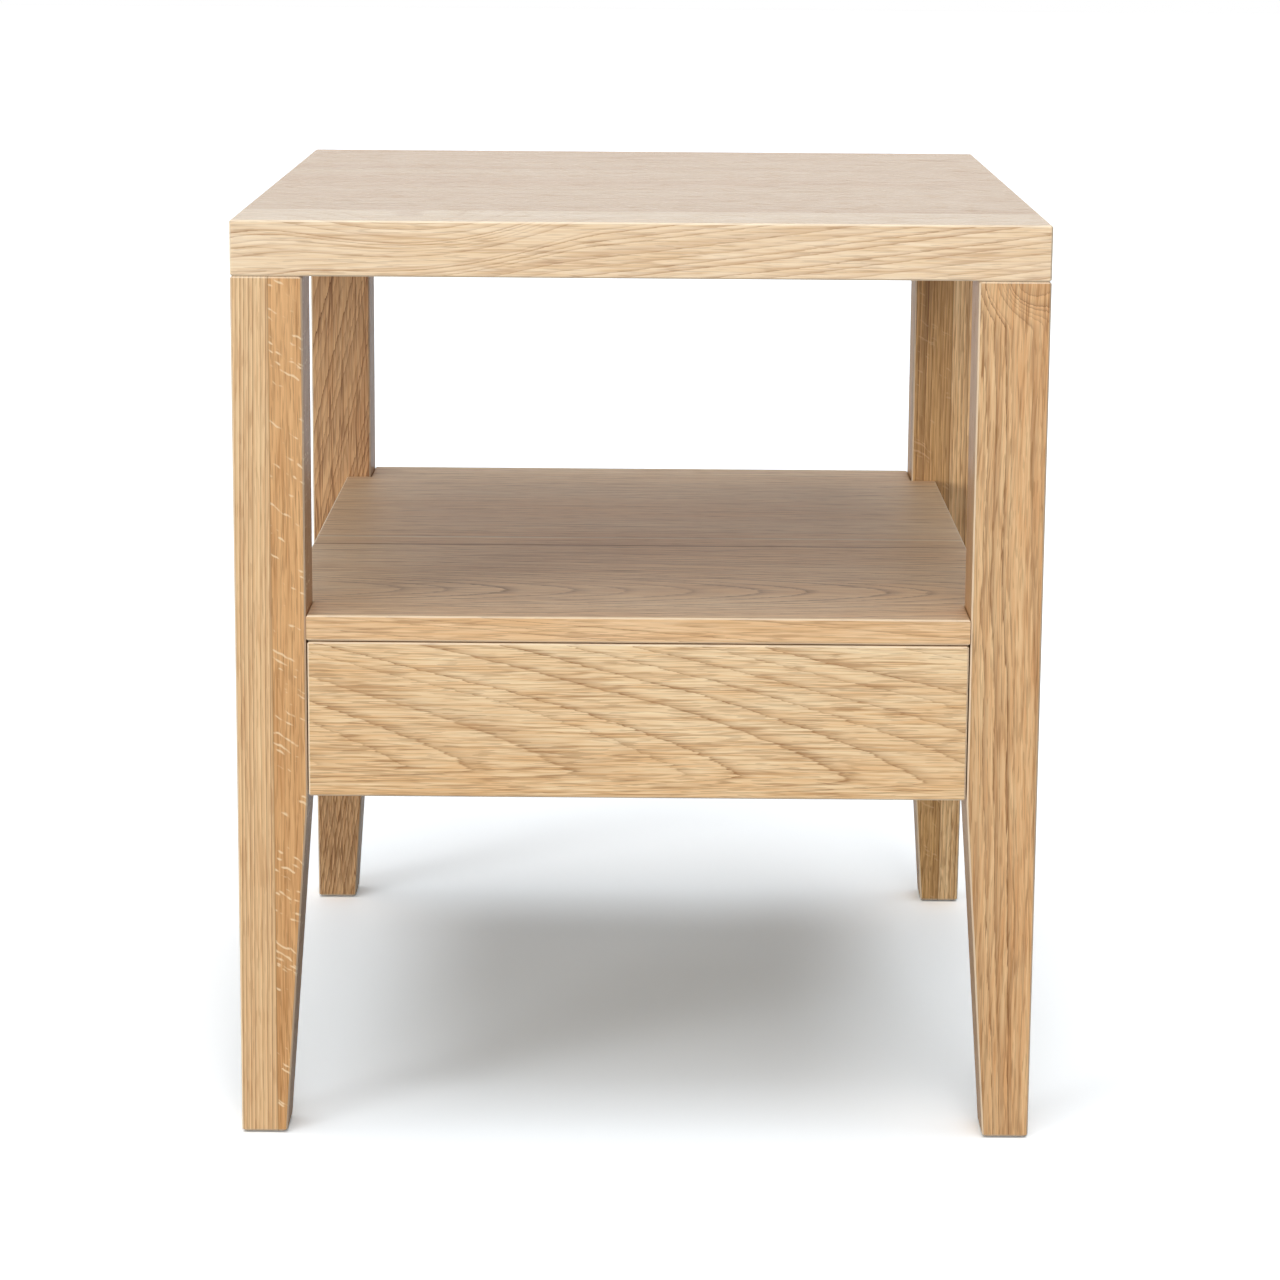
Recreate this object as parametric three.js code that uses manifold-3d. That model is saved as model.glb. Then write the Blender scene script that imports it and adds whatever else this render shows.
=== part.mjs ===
// Oak side table with an open shelf and one drawer on full extension ball slides.
// Millimetres, +Z up, front towards -Y, origin on the floor under the middle of the table.
import * as THREE from "three";
import { mergeVertices } from "three/addons/utils/BufferGeometryUtils.js";
import Module from "manifold-3d";

const wasm = await Module();
wasm.setup();

// Table, outside sizes
const tableWidth = 500;
const tableDepth = 600;
const tableHeight = 580;

// Fits and edges that every joint shares
const jointGap = 0.3; // between seated or glued faces
const arris = 1; // eased edge of a board
const overrun = 6; // how far a cutter passes the face that it opens

// Top and open shelf
const topThickness = 34;
const shelfThickness = 16;
const shelfHeight = 336; // upper face above the floor

// Legs, glued from two staves side by side, tapered on the two inner faces
const legWidth = 44;
const legDepth = 50;
const footWidth = 29;
const footDepth = 35;
const taperHeight = 218;
const footChamfer = 1.5;

// Nail-on glides, let into the feet
const glideRadius = 10;
const glideThickness = 3;
const glideProud = 1;
const nailRadius = 1.2;
const nailLength = 12;

// Rails between the legs, tenoned into them
const railThickness = 18;
const railHeight = 221; // lower edge above the floor
const tenonLength = 20;
const tenonThickness = 10;
const tenonShoulder = 12;

// Beech dowels: two from each leg into the top, a row from the rails into the shelf
const topDowelRadius = 5;
const topDowelInLeg = 28;
const topDowelInTop = 22;
const topDowelSpacing = 24;
const shelfDowelRadius = 4;
const shelfDowelInRail = 15;
const shelfDowelInShelf = 11;
const sideDowelShares = [-0.36, 0, 0.36]; // of the rail's clear length
const backDowelShares = [-0.32, 0.32];
const dowelChamfer = 1;

// Drawer front, set flush between the front legs, with a finger groove behind its lower edge
const frontThickness = 20;
const frontSideGap = 0.8;
const frontTopGap = 0.9;
const pullRadius = 6;
const pullRise = 10.5; // of the groove's middle, above the lower edge
const pullLength = 260;

// Dovetailed drawer box
const boxWall = 12;
const boxRise = 17; // above the lower edge of the drawer front
const boxHeadroom = 12; // under the shelf
const backSpace = 52; // from the box to the back rail
const tailCount = 3;
const pinEndWidth = 5;
const pinRootWidth = 8;
const bottomThickness = 6;
const bottomRise = 8;
const grooveDepth = 4;

// Pan head screws that hold the drawer front to its box
const frontScrewRadius = 2;
const frontScrewReach = 13; // into the drawer front
const frontScrewTip = 3;
const panHeadRadius = 4;
const panHeadHeight = 2.4;
const frontScrewWidthShares = [0.36, 0.3]; // lower and upper, of the box's width, out from the middle
const frontScrewHeightShares = [0.35, 0.7]; // of the clear height over the bottom panel

// Ball slides, one each side: a cabinet member, a middle member and a drawer member
const slideWidth = 12.7;
const slideTall = 45;
const slideSetback = 3; // behind the back of the drawer front
const slideTailGap = 7; // in front of the back of the drawer box
const sheet = 1; // steel thickness
const bendRadius = 1.2;
const middleShort = 10; // the middle member is this much shorter at each end
const runGap = 0.3; // between a member's web and a ball cage
const ballRadius = 1.5;
const ballPlay = 0.3;
const cageSheet = 0.5;
const cageCorner = 1.1;
const cageLength = 200;
const cageEnd = 14; // from a cage's end to its first ball
const ballsInRow = 4;
const accessRadius = 5; // screwdriver holes in the middle member
const staggerAngle = THREE.MathUtils.degToRad(50); // from the inner balls out to the outer ones
const cabinetLipAngle = THREE.MathUtils.degToRad(18);
const middleLipAngle = THREE.MathUtils.degToRad(-22);
const middleRampAngle = THREE.MathUtils.degToRad(140);
const shoulderAngle = THREE.MathUtils.degToRad(150);
const drawerLipAngle = THREE.MathUtils.degToRad(-130);
const drawerRampAngle = THREE.MathUtils.degToRad(-25);

// Countersunk screws through the slides
const slideScrewRadius = 1.7;
const slideHeadRadius = 3.2;
const slideHeadCone = 1.6;
const slideScrewTip = 2;
const cabinetScrewLength = 14;
const drawerScrewLength = 9.5;
const cabinetScrewShares = [0.08, 0.5, 0.9]; // of the slide's length, from its front
const drawerScrewShares = [0.1, 0.88];

// Facets on round work
const roundSides = 8;
const glideSides = 16;
const pullSides = 16;
const pullSteps = 3;
const ballSides = 6;
const ballRings = 4;
const arcSteps = 3;

// Sizes that follow from the ones above
const halfWidth = tableWidth / 2;
const halfDepth = tableDepth / 2;
const topUnderside = tableHeight - topThickness;
const legTop = topUnderside - jointGap;
const shelfUnderside = shelfHeight - shelfThickness;
const railTop = shelfUnderside - jointGap;
const bayHalfWidth = halfWidth - legWidth; // inner faces of legs and side rails
const bayHalfDepth = halfDepth - legDepth;
const sideRailOut = bayHalfWidth + railThickness;
const frontHalfWidth = bayHalfWidth - frontSideGap;
const frontTop = shelfUnderside - frontTopGap;
const frontBack = -halfDepth + frontThickness;
const slideSeat = bayHalfWidth - jointGap;
const boxHalfWidth = slideSeat - slideWidth - jointGap;
const boxInnerHalf = boxHalfWidth - boxWall;
const boxFront = frontBack + jointGap;
const boxBack = halfDepth - railThickness - backSpace;
const boxBottom = railHeight + boxRise;
const boxFloor = boxBottom + bottomRise + bottomThickness;
const boxTop = shelfUnderside - boxHeadroom;
const boxMiddle = (boxBottom + boxTop) / 2;
const slideFront = frontBack + slideSetback;
const slideBack = boxBack - slideTailGap;
const slideLength = slideBack - slideFront;
const travel = slideLength; // full extension

// A closed geometry as a solid that can be joined and cut
function solidOf(geometry) {
  const bare = geometry.index ? geometry.toNonIndexed() : geometry.clone();
  bare.deleteAttribute("normal");
  bare.deleteAttribute("uv");
  const merged = mergeVertices(bare);
  return new wasm.Manifold(
    new wasm.Mesh({
      numProp: 3,
      vertProperties: new Float32Array(merged.attributes.position.array),
      triVerts: new Uint32Array(merged.index.array),
    }),
  );
}

function geometryOf(solid) {
  const mesh = solid.getMesh();
  const geometry = new THREE.BufferGeometry();
  geometry.setAttribute("position", new THREE.BufferAttribute(mesh.vertProperties, 3));
  geometry.setIndex(new THREE.BufferAttribute(mesh.triVerts, 1));
  const flat = geometry.toNonIndexed();
  flat.computeVertexNormals();
  return flat;
}

function joined(solids) {
  return solids.reduce((whole, part) => whole.add(part));
}

function cutBy(solid, cutters) {
  return cutters.reduce((rest, cutter) => rest.subtract(cutter), solid);
}

// Corner points of a rectangle whose four corners are cut by the same amount, anticlockwise
function easedRectangle(xLow, xHigh, yLow, yHigh, edge) {
  return [
    [xLow + edge, yLow],
    [xHigh - edge, yLow],
    [xHigh, yLow + edge],
    [xHigh, yHigh - edge],
    [xHigh - edge, yHigh],
    [xLow + edge, yHigh],
    [xLow, yHigh - edge],
    [xLow, yLow + edge],
  ].map(([x, y]) => new THREE.Vector2(x, y));
}

// A board cut to an outline in plan, with the edges of both faces eased
function boardGeometry(outline, zLow, zHigh) {
  const geometry = new THREE.ExtrudeGeometry(new THREE.Shape(outline), {
    depth: zHigh - zLow - 2 * arris,
    steps: 1,
    bevelEnabled: true,
    bevelThickness: arris,
    bevelSize: arris,
    bevelOffset: -arris,
    bevelSegments: 1,
  });
  return geometry.translate(0, 0, zLow + arris);
}

function easedBoard(xLow, xHigh, yLow, yHigh, zLow, zHigh) {
  return solidOf(boardGeometry(easedRectangle(xLow, xHigh, yLow, yHigh, arris), zLow, zHigh));
}

function block(xLow, xHigh, yLow, yHigh, zLow, zHigh) {
  const geometry = new THREE.BoxGeometry(xHigh - xLow, yHigh - yLow, zHigh - zLow);
  geometry.translate((xLow + xHigh) / 2, (yLow + yHigh) / 2, (zLow + zHigh) / 2);
  return solidOf(geometry);
}

// Skin over closed outlines of equal point count, stacked upwards, with flat ends
function loft(rings) {
  const count = rings[0].outline.length;
  const corners = rings.flatMap(({ z, outline }) => outline.flatMap(({ x, y }) => [x, y, z]));
  const faces = [];
  for (let ring = 1; ring < rings.length; ring++) {
    const under = (ring - 1) * count;
    const over = ring * count;
    for (let i = 0; i < count; i++) {
      const next = (i + 1) % count;
      faces.push(under + i, under + next, over + next, under + i, over + next, over + i);
    }
  }
  const last = (rings.length - 1) * count;
  for (const [a, b, c] of THREE.ShapeUtils.triangulateShape(rings[0].outline, [])) {
    faces.push(a, c, b, last + a, last + b, last + c);
  }
  const geometry = new THREE.BufferGeometry();
  geometry.setAttribute("position", new THREE.Float32BufferAttribute(corners, 3));
  geometry.setIndex(faces);
  return geometry;
}

// A turned piece from [radius, height] pairs, standing along +Z
function turned(profile, sides = roundSides) {
  const points = profile.map(([radius, height]) => new THREE.Vector2(radius, height));
  return new THREE.LatheGeometry(points, sides).rotateX(Math.PI / 2);
}

function dowelGeometry(radius, length) {
  return turned([
    [0, 0],
    [radius - dowelChamfer, 0],
    [radius, dowelChamfer],
    [radius, length - dowelChamfer],
    [radius - dowelChamfer, length],
    [0, length],
  ]);
}

// The hole for an upright dowel that runs from zLow to zHigh
function dowelHole(radius, x, y, zLow, zHigh) {
  const wide = radius + jointGap;
  const geometry = turned([
    [0, zLow - jointGap],
    [wide, zLow - jointGap],
    [wide, zHigh + jointGap],
    [0, zHigh + jointGap],
  ]);
  return solidOf(geometry.translate(x, y, 0));
}

// Top

function topDowelPlaces() {
  const places = [];
  for (const legPlace of legPlaces) {
    const x = legPlace.sideX * (halfWidth - legWidth / 2);
    for (const along of [-1, 1]) {
      const y = legPlace.sideY * (halfDepth - legDepth / 2) + (along * topDowelSpacing) / 2;
      places.push({ name: `${legPlace.name}_dowel_${along < 0 ? "near" : "far"}`, x, y });
    }
  }
  return places;
}

function topDowelHoles() {
  return topDowelPlaces().map(({ x, y }) =>
    dowelHole(topDowelRadius, x, y, topUnderside - topDowelInLeg, topUnderside + topDowelInTop),
  );
}

function topPanel() {
  const board = easedBoard(-halfWidth, halfWidth, -halfDepth, halfDepth, topUnderside, tableHeight);
  return cutBy(board, topDowelHoles());
}

// Legs

const legPlaces = [
  { name: "leg_front_left", sideX: -1, sideY: -1 },
  { name: "leg_front_right", sideX: 1, sideY: -1 },
  { name: "leg_rear_left", sideX: -1, sideY: 1 },
  { name: "leg_rear_right", sideX: 1, sideY: 1 },
];

// Leg section between its two outer faces and two inner faces, drawn in by a chamfer
function legSection({ sideX, sideY }, width, depth, inset) {
  const spanX = [sideX * (halfWidth - inset), sideX * (halfWidth - width + inset)].sort((a, b) => a - b);
  const spanY = [sideY * (halfDepth - inset), sideY * (halfDepth - depth + inset)].sort((a, b) => a - b);
  return easedRectangle(...spanX, ...spanY, arris);
}

function footMiddle({ sideX, sideY }) {
  return { x: sideX * (halfWidth - footWidth / 2), y: sideY * (halfDepth - footDepth / 2) };
}

function glideGeometry(grow) {
  return turned([
    [0, -grow],
    [glideRadius - glideProud + grow, -grow],
    [glideRadius + grow, glideProud],
    [glideRadius + grow, glideThickness + grow],
    [nailRadius + grow, glideThickness + grow],
    [nailRadius + grow, glideThickness + nailLength],
    [0, glideThickness + nailLength + nailRadius + grow],
  ], glideSides);
}

function leg(place) {
  const foot = legSection(place, footWidth, footDepth, 0);
  const top = legSection(place, legWidth, legDepth, 0);
  const body = solidOf(
    loft([
      { z: glideProud, outline: legSection(place, footWidth, footDepth, footChamfer) },
      { z: glideProud + footChamfer, outline: foot },
      { z: taperHeight, outline: top },
      { z: legTop - arris, outline: top },
      { z: legTop, outline: legSection(place, legWidth, legDepth, arris) },
    ]),
  );
  const { x, y } = footMiddle(place);
  const glideRecess = solidOf(glideGeometry(jointGap).translate(x, y, 0));
  return cutBy(body, [...topDowelHoles(), ...railMortises(), glideRecess]);
}

// Rails

// Tenons run through the rail in one length, so one bar makes both of them
function sideTenonBar(side, grow) {
  const middle = side * (bayHalfWidth + railThickness / 2);
  const half = tenonThickness / 2 + grow;
  const reach = bayHalfDepth + tenonLength + grow;
  const low = railHeight + tenonShoulder - grow;
  return block(middle - half, middle + half, -reach, reach, low, railTop - tenonShoulder + grow);
}

function backTenonBar(grow) {
  const middle = halfDepth - railThickness / 2;
  const half = tenonThickness / 2 + grow;
  const reach = bayHalfWidth + tenonLength + grow;
  const low = railHeight + tenonShoulder - grow;
  return block(-reach, reach, middle - half, middle + half, low, railTop - tenonShoulder + grow);
}

function railMortises() {
  return [sideTenonBar(-1, jointGap), sideTenonBar(1, jointGap), backTenonBar(jointGap)];
}

function shelfDowelPlaces() {
  const places = [];
  for (const [side, label] of [[-1, "left"], [1, "right"]]) {
    sideDowelShares.forEach((share, i) => {
      const x = side * (bayHalfWidth + railThickness / 2);
      places.push({ name: `shelf_dowel_${label}_${i + 1}`, x, y: 2 * bayHalfDepth * share });
    });
  }
  backDowelShares.forEach((share, i) => {
    const y = halfDepth - railThickness / 2;
    places.push({ name: `shelf_dowel_back_${i + 1}`, x: 2 * bayHalfWidth * share, y });
  });
  return places;
}

function shelfDowelHoles() {
  return shelfDowelPlaces().map(({ x, y }) =>
    dowelHole(shelfDowelRadius, x, y, railTop - shelfDowelInRail, shelfUnderside + shelfDowelInShelf),
  );
}

function sideRail(side) {
  const inner = side * bayHalfWidth;
  const outer = side * sideRailOut;
  const reach = bayHalfDepth - jointGap;
  const xLow = Math.min(inner, outer);
  const board = easedBoard(xLow, xLow + railThickness, -reach, reach, railHeight, railTop);
  return cutBy(board.add(sideTenonBar(side, 0)), [...shelfDowelHoles(), ...cabinetScrewHoles(side)]);
}

function backRail() {
  const reach = bayHalfWidth - jointGap;
  const board = easedBoard(-reach, reach, halfDepth - railThickness, halfDepth, railHeight, railTop);
  return cutBy(board.add(backTenonBar(0)), shelfDowelHoles());
}

// Shelf, notched round the four legs and lying on the rails

function shelfOutline() {
  const wide = sideRailOut;
  const narrow = bayHalfWidth - jointGap;
  const notch = bayHalfDepth - jointGap;
  const corner = [
    [narrow, halfDepth],
    [narrow, notch],
    [wide, notch],
  ];
  const back = corner.slice().reverse();
  const turn = (points, sideX, sideY) => points.map(([x, y]) => new THREE.Vector2(sideX * x, sideY * y));
  return [...turn(corner, 1, -1), ...turn(back, 1, 1), ...turn(corner, -1, 1), ...turn(back, -1, -1)];
}

function shelfPanel() {
  return cutBy(solidOf(boardGeometry(shelfOutline(), shelfUnderside, shelfHeight)), shelfDowelHoles());
}

// Drawer front and box

// Screw along +Z from its tip, with a pan head; grow makes the hole that it runs in
function panScrewGeometry(grow) {
  const underHead = boxWall + jointGap + frontScrewReach;
  return turned([
    [0, -grow],
    [frontScrewRadius + grow, frontScrewTip],
    [frontScrewRadius + grow, underHead],
    [panHeadRadius + grow, underHead],
    [panHeadRadius + grow, underHead + panHeadHeight / 2],
    [panHeadRadius / 2 + grow, underHead + panHeadHeight],
    [0, underHead + panHeadHeight],
  ]);
}

function frontScrewPlaces() {
  const places = [];
  for (const [sideX, label] of [[-1, "left"], [1, "right"]]) {
    ["lower", "upper"].forEach((level, i) => {
      const x = sideX * 2 * boxHalfWidth * frontScrewWidthShares[i];
      const z = THREE.MathUtils.lerp(boxFloor, boxTop, frontScrewHeightShares[i]);
      places.push({ name: `front_screw_${label}_${level}`, x, z });
    });
  }
  return places;
}

// A screw stands along +Y, with its head a gap clear of the box's inner face
function placedPanScrew(geometry, x, z) {
  return geometry.rotateX(-Math.PI / 2).translate(x, frontBack - frontScrewReach + jointGap, z);
}

function frontScrewHoles() {
  return frontScrewPlaces().map(({ x, z }) => solidOf(placedPanScrew(panScrewGeometry(jointGap), x, z)));
}

function pullGroove() {
  const straight = pullLength - 2 * pullRadius;
  const groove = new THREE.CapsuleGeometry(pullRadius, straight, pullSteps, pullSides);
  groove.rotateZ(Math.PI / 2).translate(0, frontBack, railHeight + pullRise);
  return solidOf(groove);
}

function drawerFront() {
  const board = easedBoard(-frontHalfWidth, frontHalfWidth, -halfDepth, frontBack, railHeight, frontTop);
  return cutBy(board, [pullGroove(), ...frontScrewHoles()]);
}

// A bar with the section of one dovetail pin, right across the box; it narrows towards the outside
function pinBar(height, outsideY, insideY, grow) {
  const inward = Math.sign(insideY - outsideY);
  const end = pinEndWidth / 2 + grow;
  const root = pinRootWidth / 2 + grow;
  const reach = boxHalfWidth + (grow > 0 ? overrun : 0);
  const outside = outsideY - (grow > 0 ? inward * overrun : 0);
  const widen = grow > 0 ? ((pinRootWidth - pinEndWidth) / 2 / boxWall) * overrun : 0;
  const section = new THREE.Shape([
    new THREE.Vector2(outside, height - end + widen),
    new THREE.Vector2(insideY + inward * grow, height - root),
    new THREE.Vector2(insideY + inward * grow, height + root),
    new THREE.Vector2(outside, height + end - widen),
  ]);
  const bar = new THREE.ExtrudeGeometry(section, { depth: 2 * reach, bevelEnabled: false });
  // The section is drawn in Y and Z, and runs along X
  bar.rotateY(Math.PI / 2).rotateX(Math.PI / 2).translate(-reach, 0, 0);
  return solidOf(bar);
}

function pins(outsideY, insideY, grow) {
  const pitch = (boxTop - boxBottom) / tailCount;
  const bars = [];
  for (let i = 0; i <= tailCount; i++) {
    bars.push(pinBar(boxBottom + i * pitch, outsideY, insideY, grow));
  }
  return joined(bars);
}

function bottomPanelBlock(grow) {
  const reachX = boxInnerHalf + grooveDepth - jointGap + grow;
  const yLow = boxFront + boxWall - grooveDepth + jointGap - grow;
  const yHigh = boxBack - boxWall + grooveDepth - jointGap + grow;
  return block(-reachX, reachX, yLow, yHigh, boxBottom + bottomRise - grow, boxFloor + grow);
}

// An end board of the box: its pins fill the sockets between the tails of the two sides
function boxEnd(outsideY, holes) {
  const inward = -Math.sign(outsideY);
  const insideY = outsideY + inward * boxWall;
  const yLow = Math.min(outsideY, insideY);
  const yHigh = Math.max(outsideY, insideY);
  const between = boxInnerHalf - jointGap;
  const board = block(-between, between, yLow, yHigh, boxBottom, boxTop);
  const envelope = block(-boxHalfWidth, boxHalfWidth, yLow, yHigh, boxBottom, boxTop);
  const pinned = board.add(pins(outsideY, insideY, 0).intersect(envelope));
  return cutBy(pinned, [bottomPanelBlock(jointGap), ...holes]);
}

function boxSide(side) {
  const inner = side * boxInnerHalf;
  const outer = side * boxHalfWidth;
  const board = block(Math.min(inner, outer), Math.max(inner, outer), boxFront, boxBack, boxBottom, boxTop);
  const sockets = [
    pins(boxFront, boxFront + boxWall, jointGap),
    pins(boxBack, boxBack - boxWall, jointGap),
  ];
  return cutBy(board, [...sockets, bottomPanelBlock(jointGap), ...drawerScrewHoles(side)]);
}

// Slides. A section is drawn with u outwards from the cabinet wall and v up from the slide's middle

const raceRadius = ballRadius + ballPlay + sheet / 2; // middle of the steel round a ball
const cabinetWeb = sheet / 2;
const outerCageWeb = sheet + runGap + cageSheet / 2;
const middleWeb = outerCageWeb + cageSheet / 2 + runGap + sheet / 2;
const innerCageWeb = middleWeb + sheet / 2 + runGap + cageSheet / 2;
const drawerWeb = slideWidth - sheet / 2;
const outerBall = { v: slideTall / 2 - raceRadius - sheet / 2 };
const innerBall = {
  u: innerCageWeb + cageSheet / 2 + runGap - (raceRadius + sheet / 2) * Math.cos(drawerLipAngle),
  v: outerBall.v - 2 * raceRadius * Math.sin(staggerAngle),
};
outerBall.u = innerBall.u + 2 * raceRadius * Math.cos(staggerAngle);

// Points along an arc, its two ends included
function arc(centre, radius, from, to) {
  const points = [];
  for (let i = 0; i <= arcSteps; i++) {
    const angle = THREE.MathUtils.lerp(from, to, i / arcSteps);
    points.push(new THREE.Vector2(centre.u + radius * Math.cos(angle), centre.v + radius * Math.sin(angle)));
  }
  return points;
}

// A section's upper half, from its web outwards, joined to the same half turned over
function bothHalves(upper) {
  const lower = upper.map(({ x, y }) => new THREE.Vector2(x, -y)).reverse();
  return [...lower, ...upper];
}

// Ball races are arcs round the balls, and webs meet the flanges in small bends
function cabinetLine() {
  const race = arc(outerBall, raceRadius, shoulderAngle, cabinetLipAngle);
  const bend = { u: cabinetWeb + bendRadius, v: race[0].y - bendRadius };
  return bothHalves([...arc(bend, bendRadius, Math.PI, Math.PI / 2), ...race]);
}

function middleLine() {
  const overInner = arc(innerBall, raceRadius, middleRampAngle, staggerAngle);
  const underOuter = arc(outerBall, raceRadius, staggerAngle - Math.PI, middleLipAngle);
  const rise = (overInner[0].x - middleWeb) * Math.tan(middleRampAngle - Math.PI / 2);
  const rampFoot = new THREE.Vector2(middleWeb, overInner[0].y - rise);
  return bothHalves([rampFoot, ...overInner, ...underOuter.slice(1)]);
}

function drawerLine() {
  const race = arc(innerBall, raceRadius, drawerRampAngle, drawerLipAngle);
  const bend = { u: drawerWeb - bendRadius, v: race[0].y - bendRadius };
  return bothHalves([...arc(bend, bendRadius, 0, Math.PI / 2), ...race]);
}

// A cage's flange reaches into its row of balls, a little past their middle
function cageLine(web, ball, corner) {
  return bothHalves([
    new THREE.Vector2(web, ball.v - corner),
    new THREE.Vector2(web + corner, ball.v),
    new THREE.Vector2(ball.u + ballRadius / 2, ball.v),
  ]);
}

// A strip of even thickness along a line, mitred at its corners
function strip(line, thickness) {
  const last = line.length - 1;
  const sideNormal = (from, to) => {
    const along = to.clone().sub(from).normalize();
    return new THREE.Vector2(-along.y, along.x);
  };
  const offsets = line.map((point, i) => {
    const before = sideNormal(line[Math.max(i, 1) - 1], line[Math.max(i, 1)]);
    const after = sideNormal(line[Math.min(i, last - 1)], line[Math.min(i, last - 1) + 1]);
    const mitre = before.clone().add(after).normalize();
    return mitre.multiplyScalar(thickness / 2 / mitre.dot(after));
  });
  const left = line.map((point, i) => point.clone().add(offsets[i]));
  const right = line.map((point, i) => point.clone().sub(offsets[i]));
  return new THREE.Shape([...right, ...left.reverse()]);
}

// A rolled section from yLow to yHigh in the slide's own frame: +X into the bay, +Z up
function rolled(line, thickness, yLow, yHigh) {
  const depth = yHigh - yLow;
  const geometry = new THREE.ExtrudeGeometry(strip(line, thickness), { depth, bevelEnabled: false });
  return solidOf(geometry.rotateX(Math.PI / 2).translate(0, yHigh, 0));
}

// Countersunk screw along +Z from its tip to the flat of its head
function flatScrewGeometry(length, grow) {
  const headTop = grow > 0 ? length + overrun : length;
  return turned([
    [0, -grow],
    [slideScrewRadius + grow, slideScrewTip],
    [slideScrewRadius + grow, length - slideHeadCone],
    [slideHeadRadius + grow, length],
    [slideHeadRadius + grow, headTop],
    [0, headTop],
  ].filter(([radius, height], i, all) => i === 0 || radius !== all[i - 1][0] || height !== all[i - 1][1]));
}

// Along the slide, measured back from its front end
function alongSlide(share) {
  return slideFront + share * slideLength;
}

// The screw's head lies in the cabinet web and its tip in the rail, along -X of the slide's frame
function cabinetScrewGeometry(share, grow) {
  const geometry = flatScrewGeometry(cabinetScrewLength, grow);
  return geometry.rotateY(Math.PI / 2).translate(sheet - cabinetScrewLength, alongSlide(share), 0);
}

function drawerScrewGeometry(share, grow) {
  const geometry = flatScrewGeometry(drawerScrewLength, grow);
  return geometry
    .rotateY(-Math.PI / 2)
    .translate(slideWidth - sheet + drawerScrewLength, alongSlide(share), 0);
}

// From the slide's own frame to the table's, on the left or turned half round on the right
function atSlide(geometry, side) {
  if (side > 0) {
    geometry.rotateY(Math.PI);
  }
  return geometry.translate(side * slideSeat, 0, boxMiddle);
}

function cabinetScrewHoles(side) {
  return cabinetScrewShares.map((share) => solidOf(atSlide(cabinetScrewGeometry(share, jointGap), side)));
}

function drawerScrewHoles(side) {
  return drawerScrewShares.map((share) => solidOf(atSlide(drawerScrewGeometry(share, jointGap), side)));
}

function cabinetMember() {
  const holes = cabinetScrewShares.map((share) => solidOf(cabinetScrewGeometry(share, jointGap)));
  return cutBy(rolled(cabinetLine(), sheet, slideFront, slideBack), holes);
}

function middleMember() {
  const body = rolled(middleLine(), sheet, slideFront + middleShort, slideBack - middleShort);
  const holes = cabinetScrewShares.map((share) => {
    const hole = new THREE.CylinderGeometry(accessRadius, accessRadius, 2 * overrun, roundSides);
    return solidOf(hole.rotateZ(Math.PI / 2).translate(middleWeb, alongSlide(share), 0));
  });
  return cutBy(body, holes);
}

function drawerMember() {
  const holes = drawerScrewShares.map((share) => solidOf(drawerScrewGeometry(share, jointGap)));
  return cutBy(rolled(drawerLine(), sheet, slideFront, slideBack), holes);
}

// A cage lies where both members still hold it when the drawer is right out
function cageMiddle(overlapBack, overlapFront, share) {
  return (overlapBack + overlapFront) / 2 + share * travel;
}

const outerCageShare = 0.25; // of the drawer's travel
const innerCageShare = 0.75;
const middleShare = 0.5;

function ballCage(web, ball, middle) {
  const line = cageLine(web, ball, cageCorner);
  const parts = [rolled(line, cageSheet, middle - cageLength / 2, middle + cageLength / 2)];
  const firstBall = middle - cageLength / 2 + cageEnd;
  const pitch = (cageLength - 2 * cageEnd) / (ballsInRow - 1);
  for (let i = 0; i < ballsInRow; i++) {
    for (const row of [-1, 1]) {
      const sphere = new THREE.SphereGeometry(ballRadius, ballSides, ballRings);
      parts.push(solidOf(sphere.translate(ball.u, firstBall + i * pitch, row * ball.v)));
    }
  }
  return joined(parts);
}

function outerCage() {
  const frontOfOverlap = slideFront;
  const backOfOverlap = slideBack - middleShort - middleShare * travel;
  return ballCage(outerCageWeb, outerBall, cageMiddle(backOfOverlap, frontOfOverlap, outerCageShare));
}

function innerCage() {
  const frontOfOverlap = slideFront + middleShort - middleShare * travel;
  const backOfOverlap = slideBack - travel;
  return ballCage(innerCageWeb, innerBall, cageMiddle(backOfOverlap, frontOfOverlap, innerCageShare));
}

// Materials
const oak = new THREE.MeshStandardMaterial({ color: "#d9b487", roughness: 0.55, metalness: 0 });
const oakTop = new THREE.MeshStandardMaterial({ color: "#d3c0aa", roughness: 0.5, metalness: 0 });
const oakShelf = new THREE.MeshStandardMaterial({ color: "#b09a82", roughness: 0.5, metalness: 0 });
const birch = new THREE.MeshStandardMaterial({ color: "#e3cfa8", roughness: 0.6, metalness: 0 });
const plywood = new THREE.MeshStandardMaterial({ color: "#dcc79c", roughness: 0.65, metalness: 0 });
const beech = new THREE.MeshStandardMaterial({ color: "#d8b98c", roughness: 0.7, metalness: 0 });
const zincSteel = new THREE.MeshStandardMaterial({ color: "#c4c8cc", roughness: 0.35, metalness: 1 });
const screwSteel = new THREE.MeshStandardMaterial({ color: "#b9b49c", roughness: 0.35, metalness: 1 });
const nylon = new THREE.MeshStandardMaterial({ color: "#6b5a48", roughness: 0.6, metalness: 0 });

const table = new THREE.Group();

function place(parent, name, geometry, material) {
  const mesh = new THREE.Mesh(geometry, material);
  mesh.name = name;
  parent.add(mesh);
  return mesh;
}

place(table, "top_panel", geometryOf(topPanel()), oakTop);
place(table, "shelf_panel", geometryOf(shelfPanel()), oakShelf);
place(table, "back_rail", geometryOf(backRail()), oak);

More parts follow.
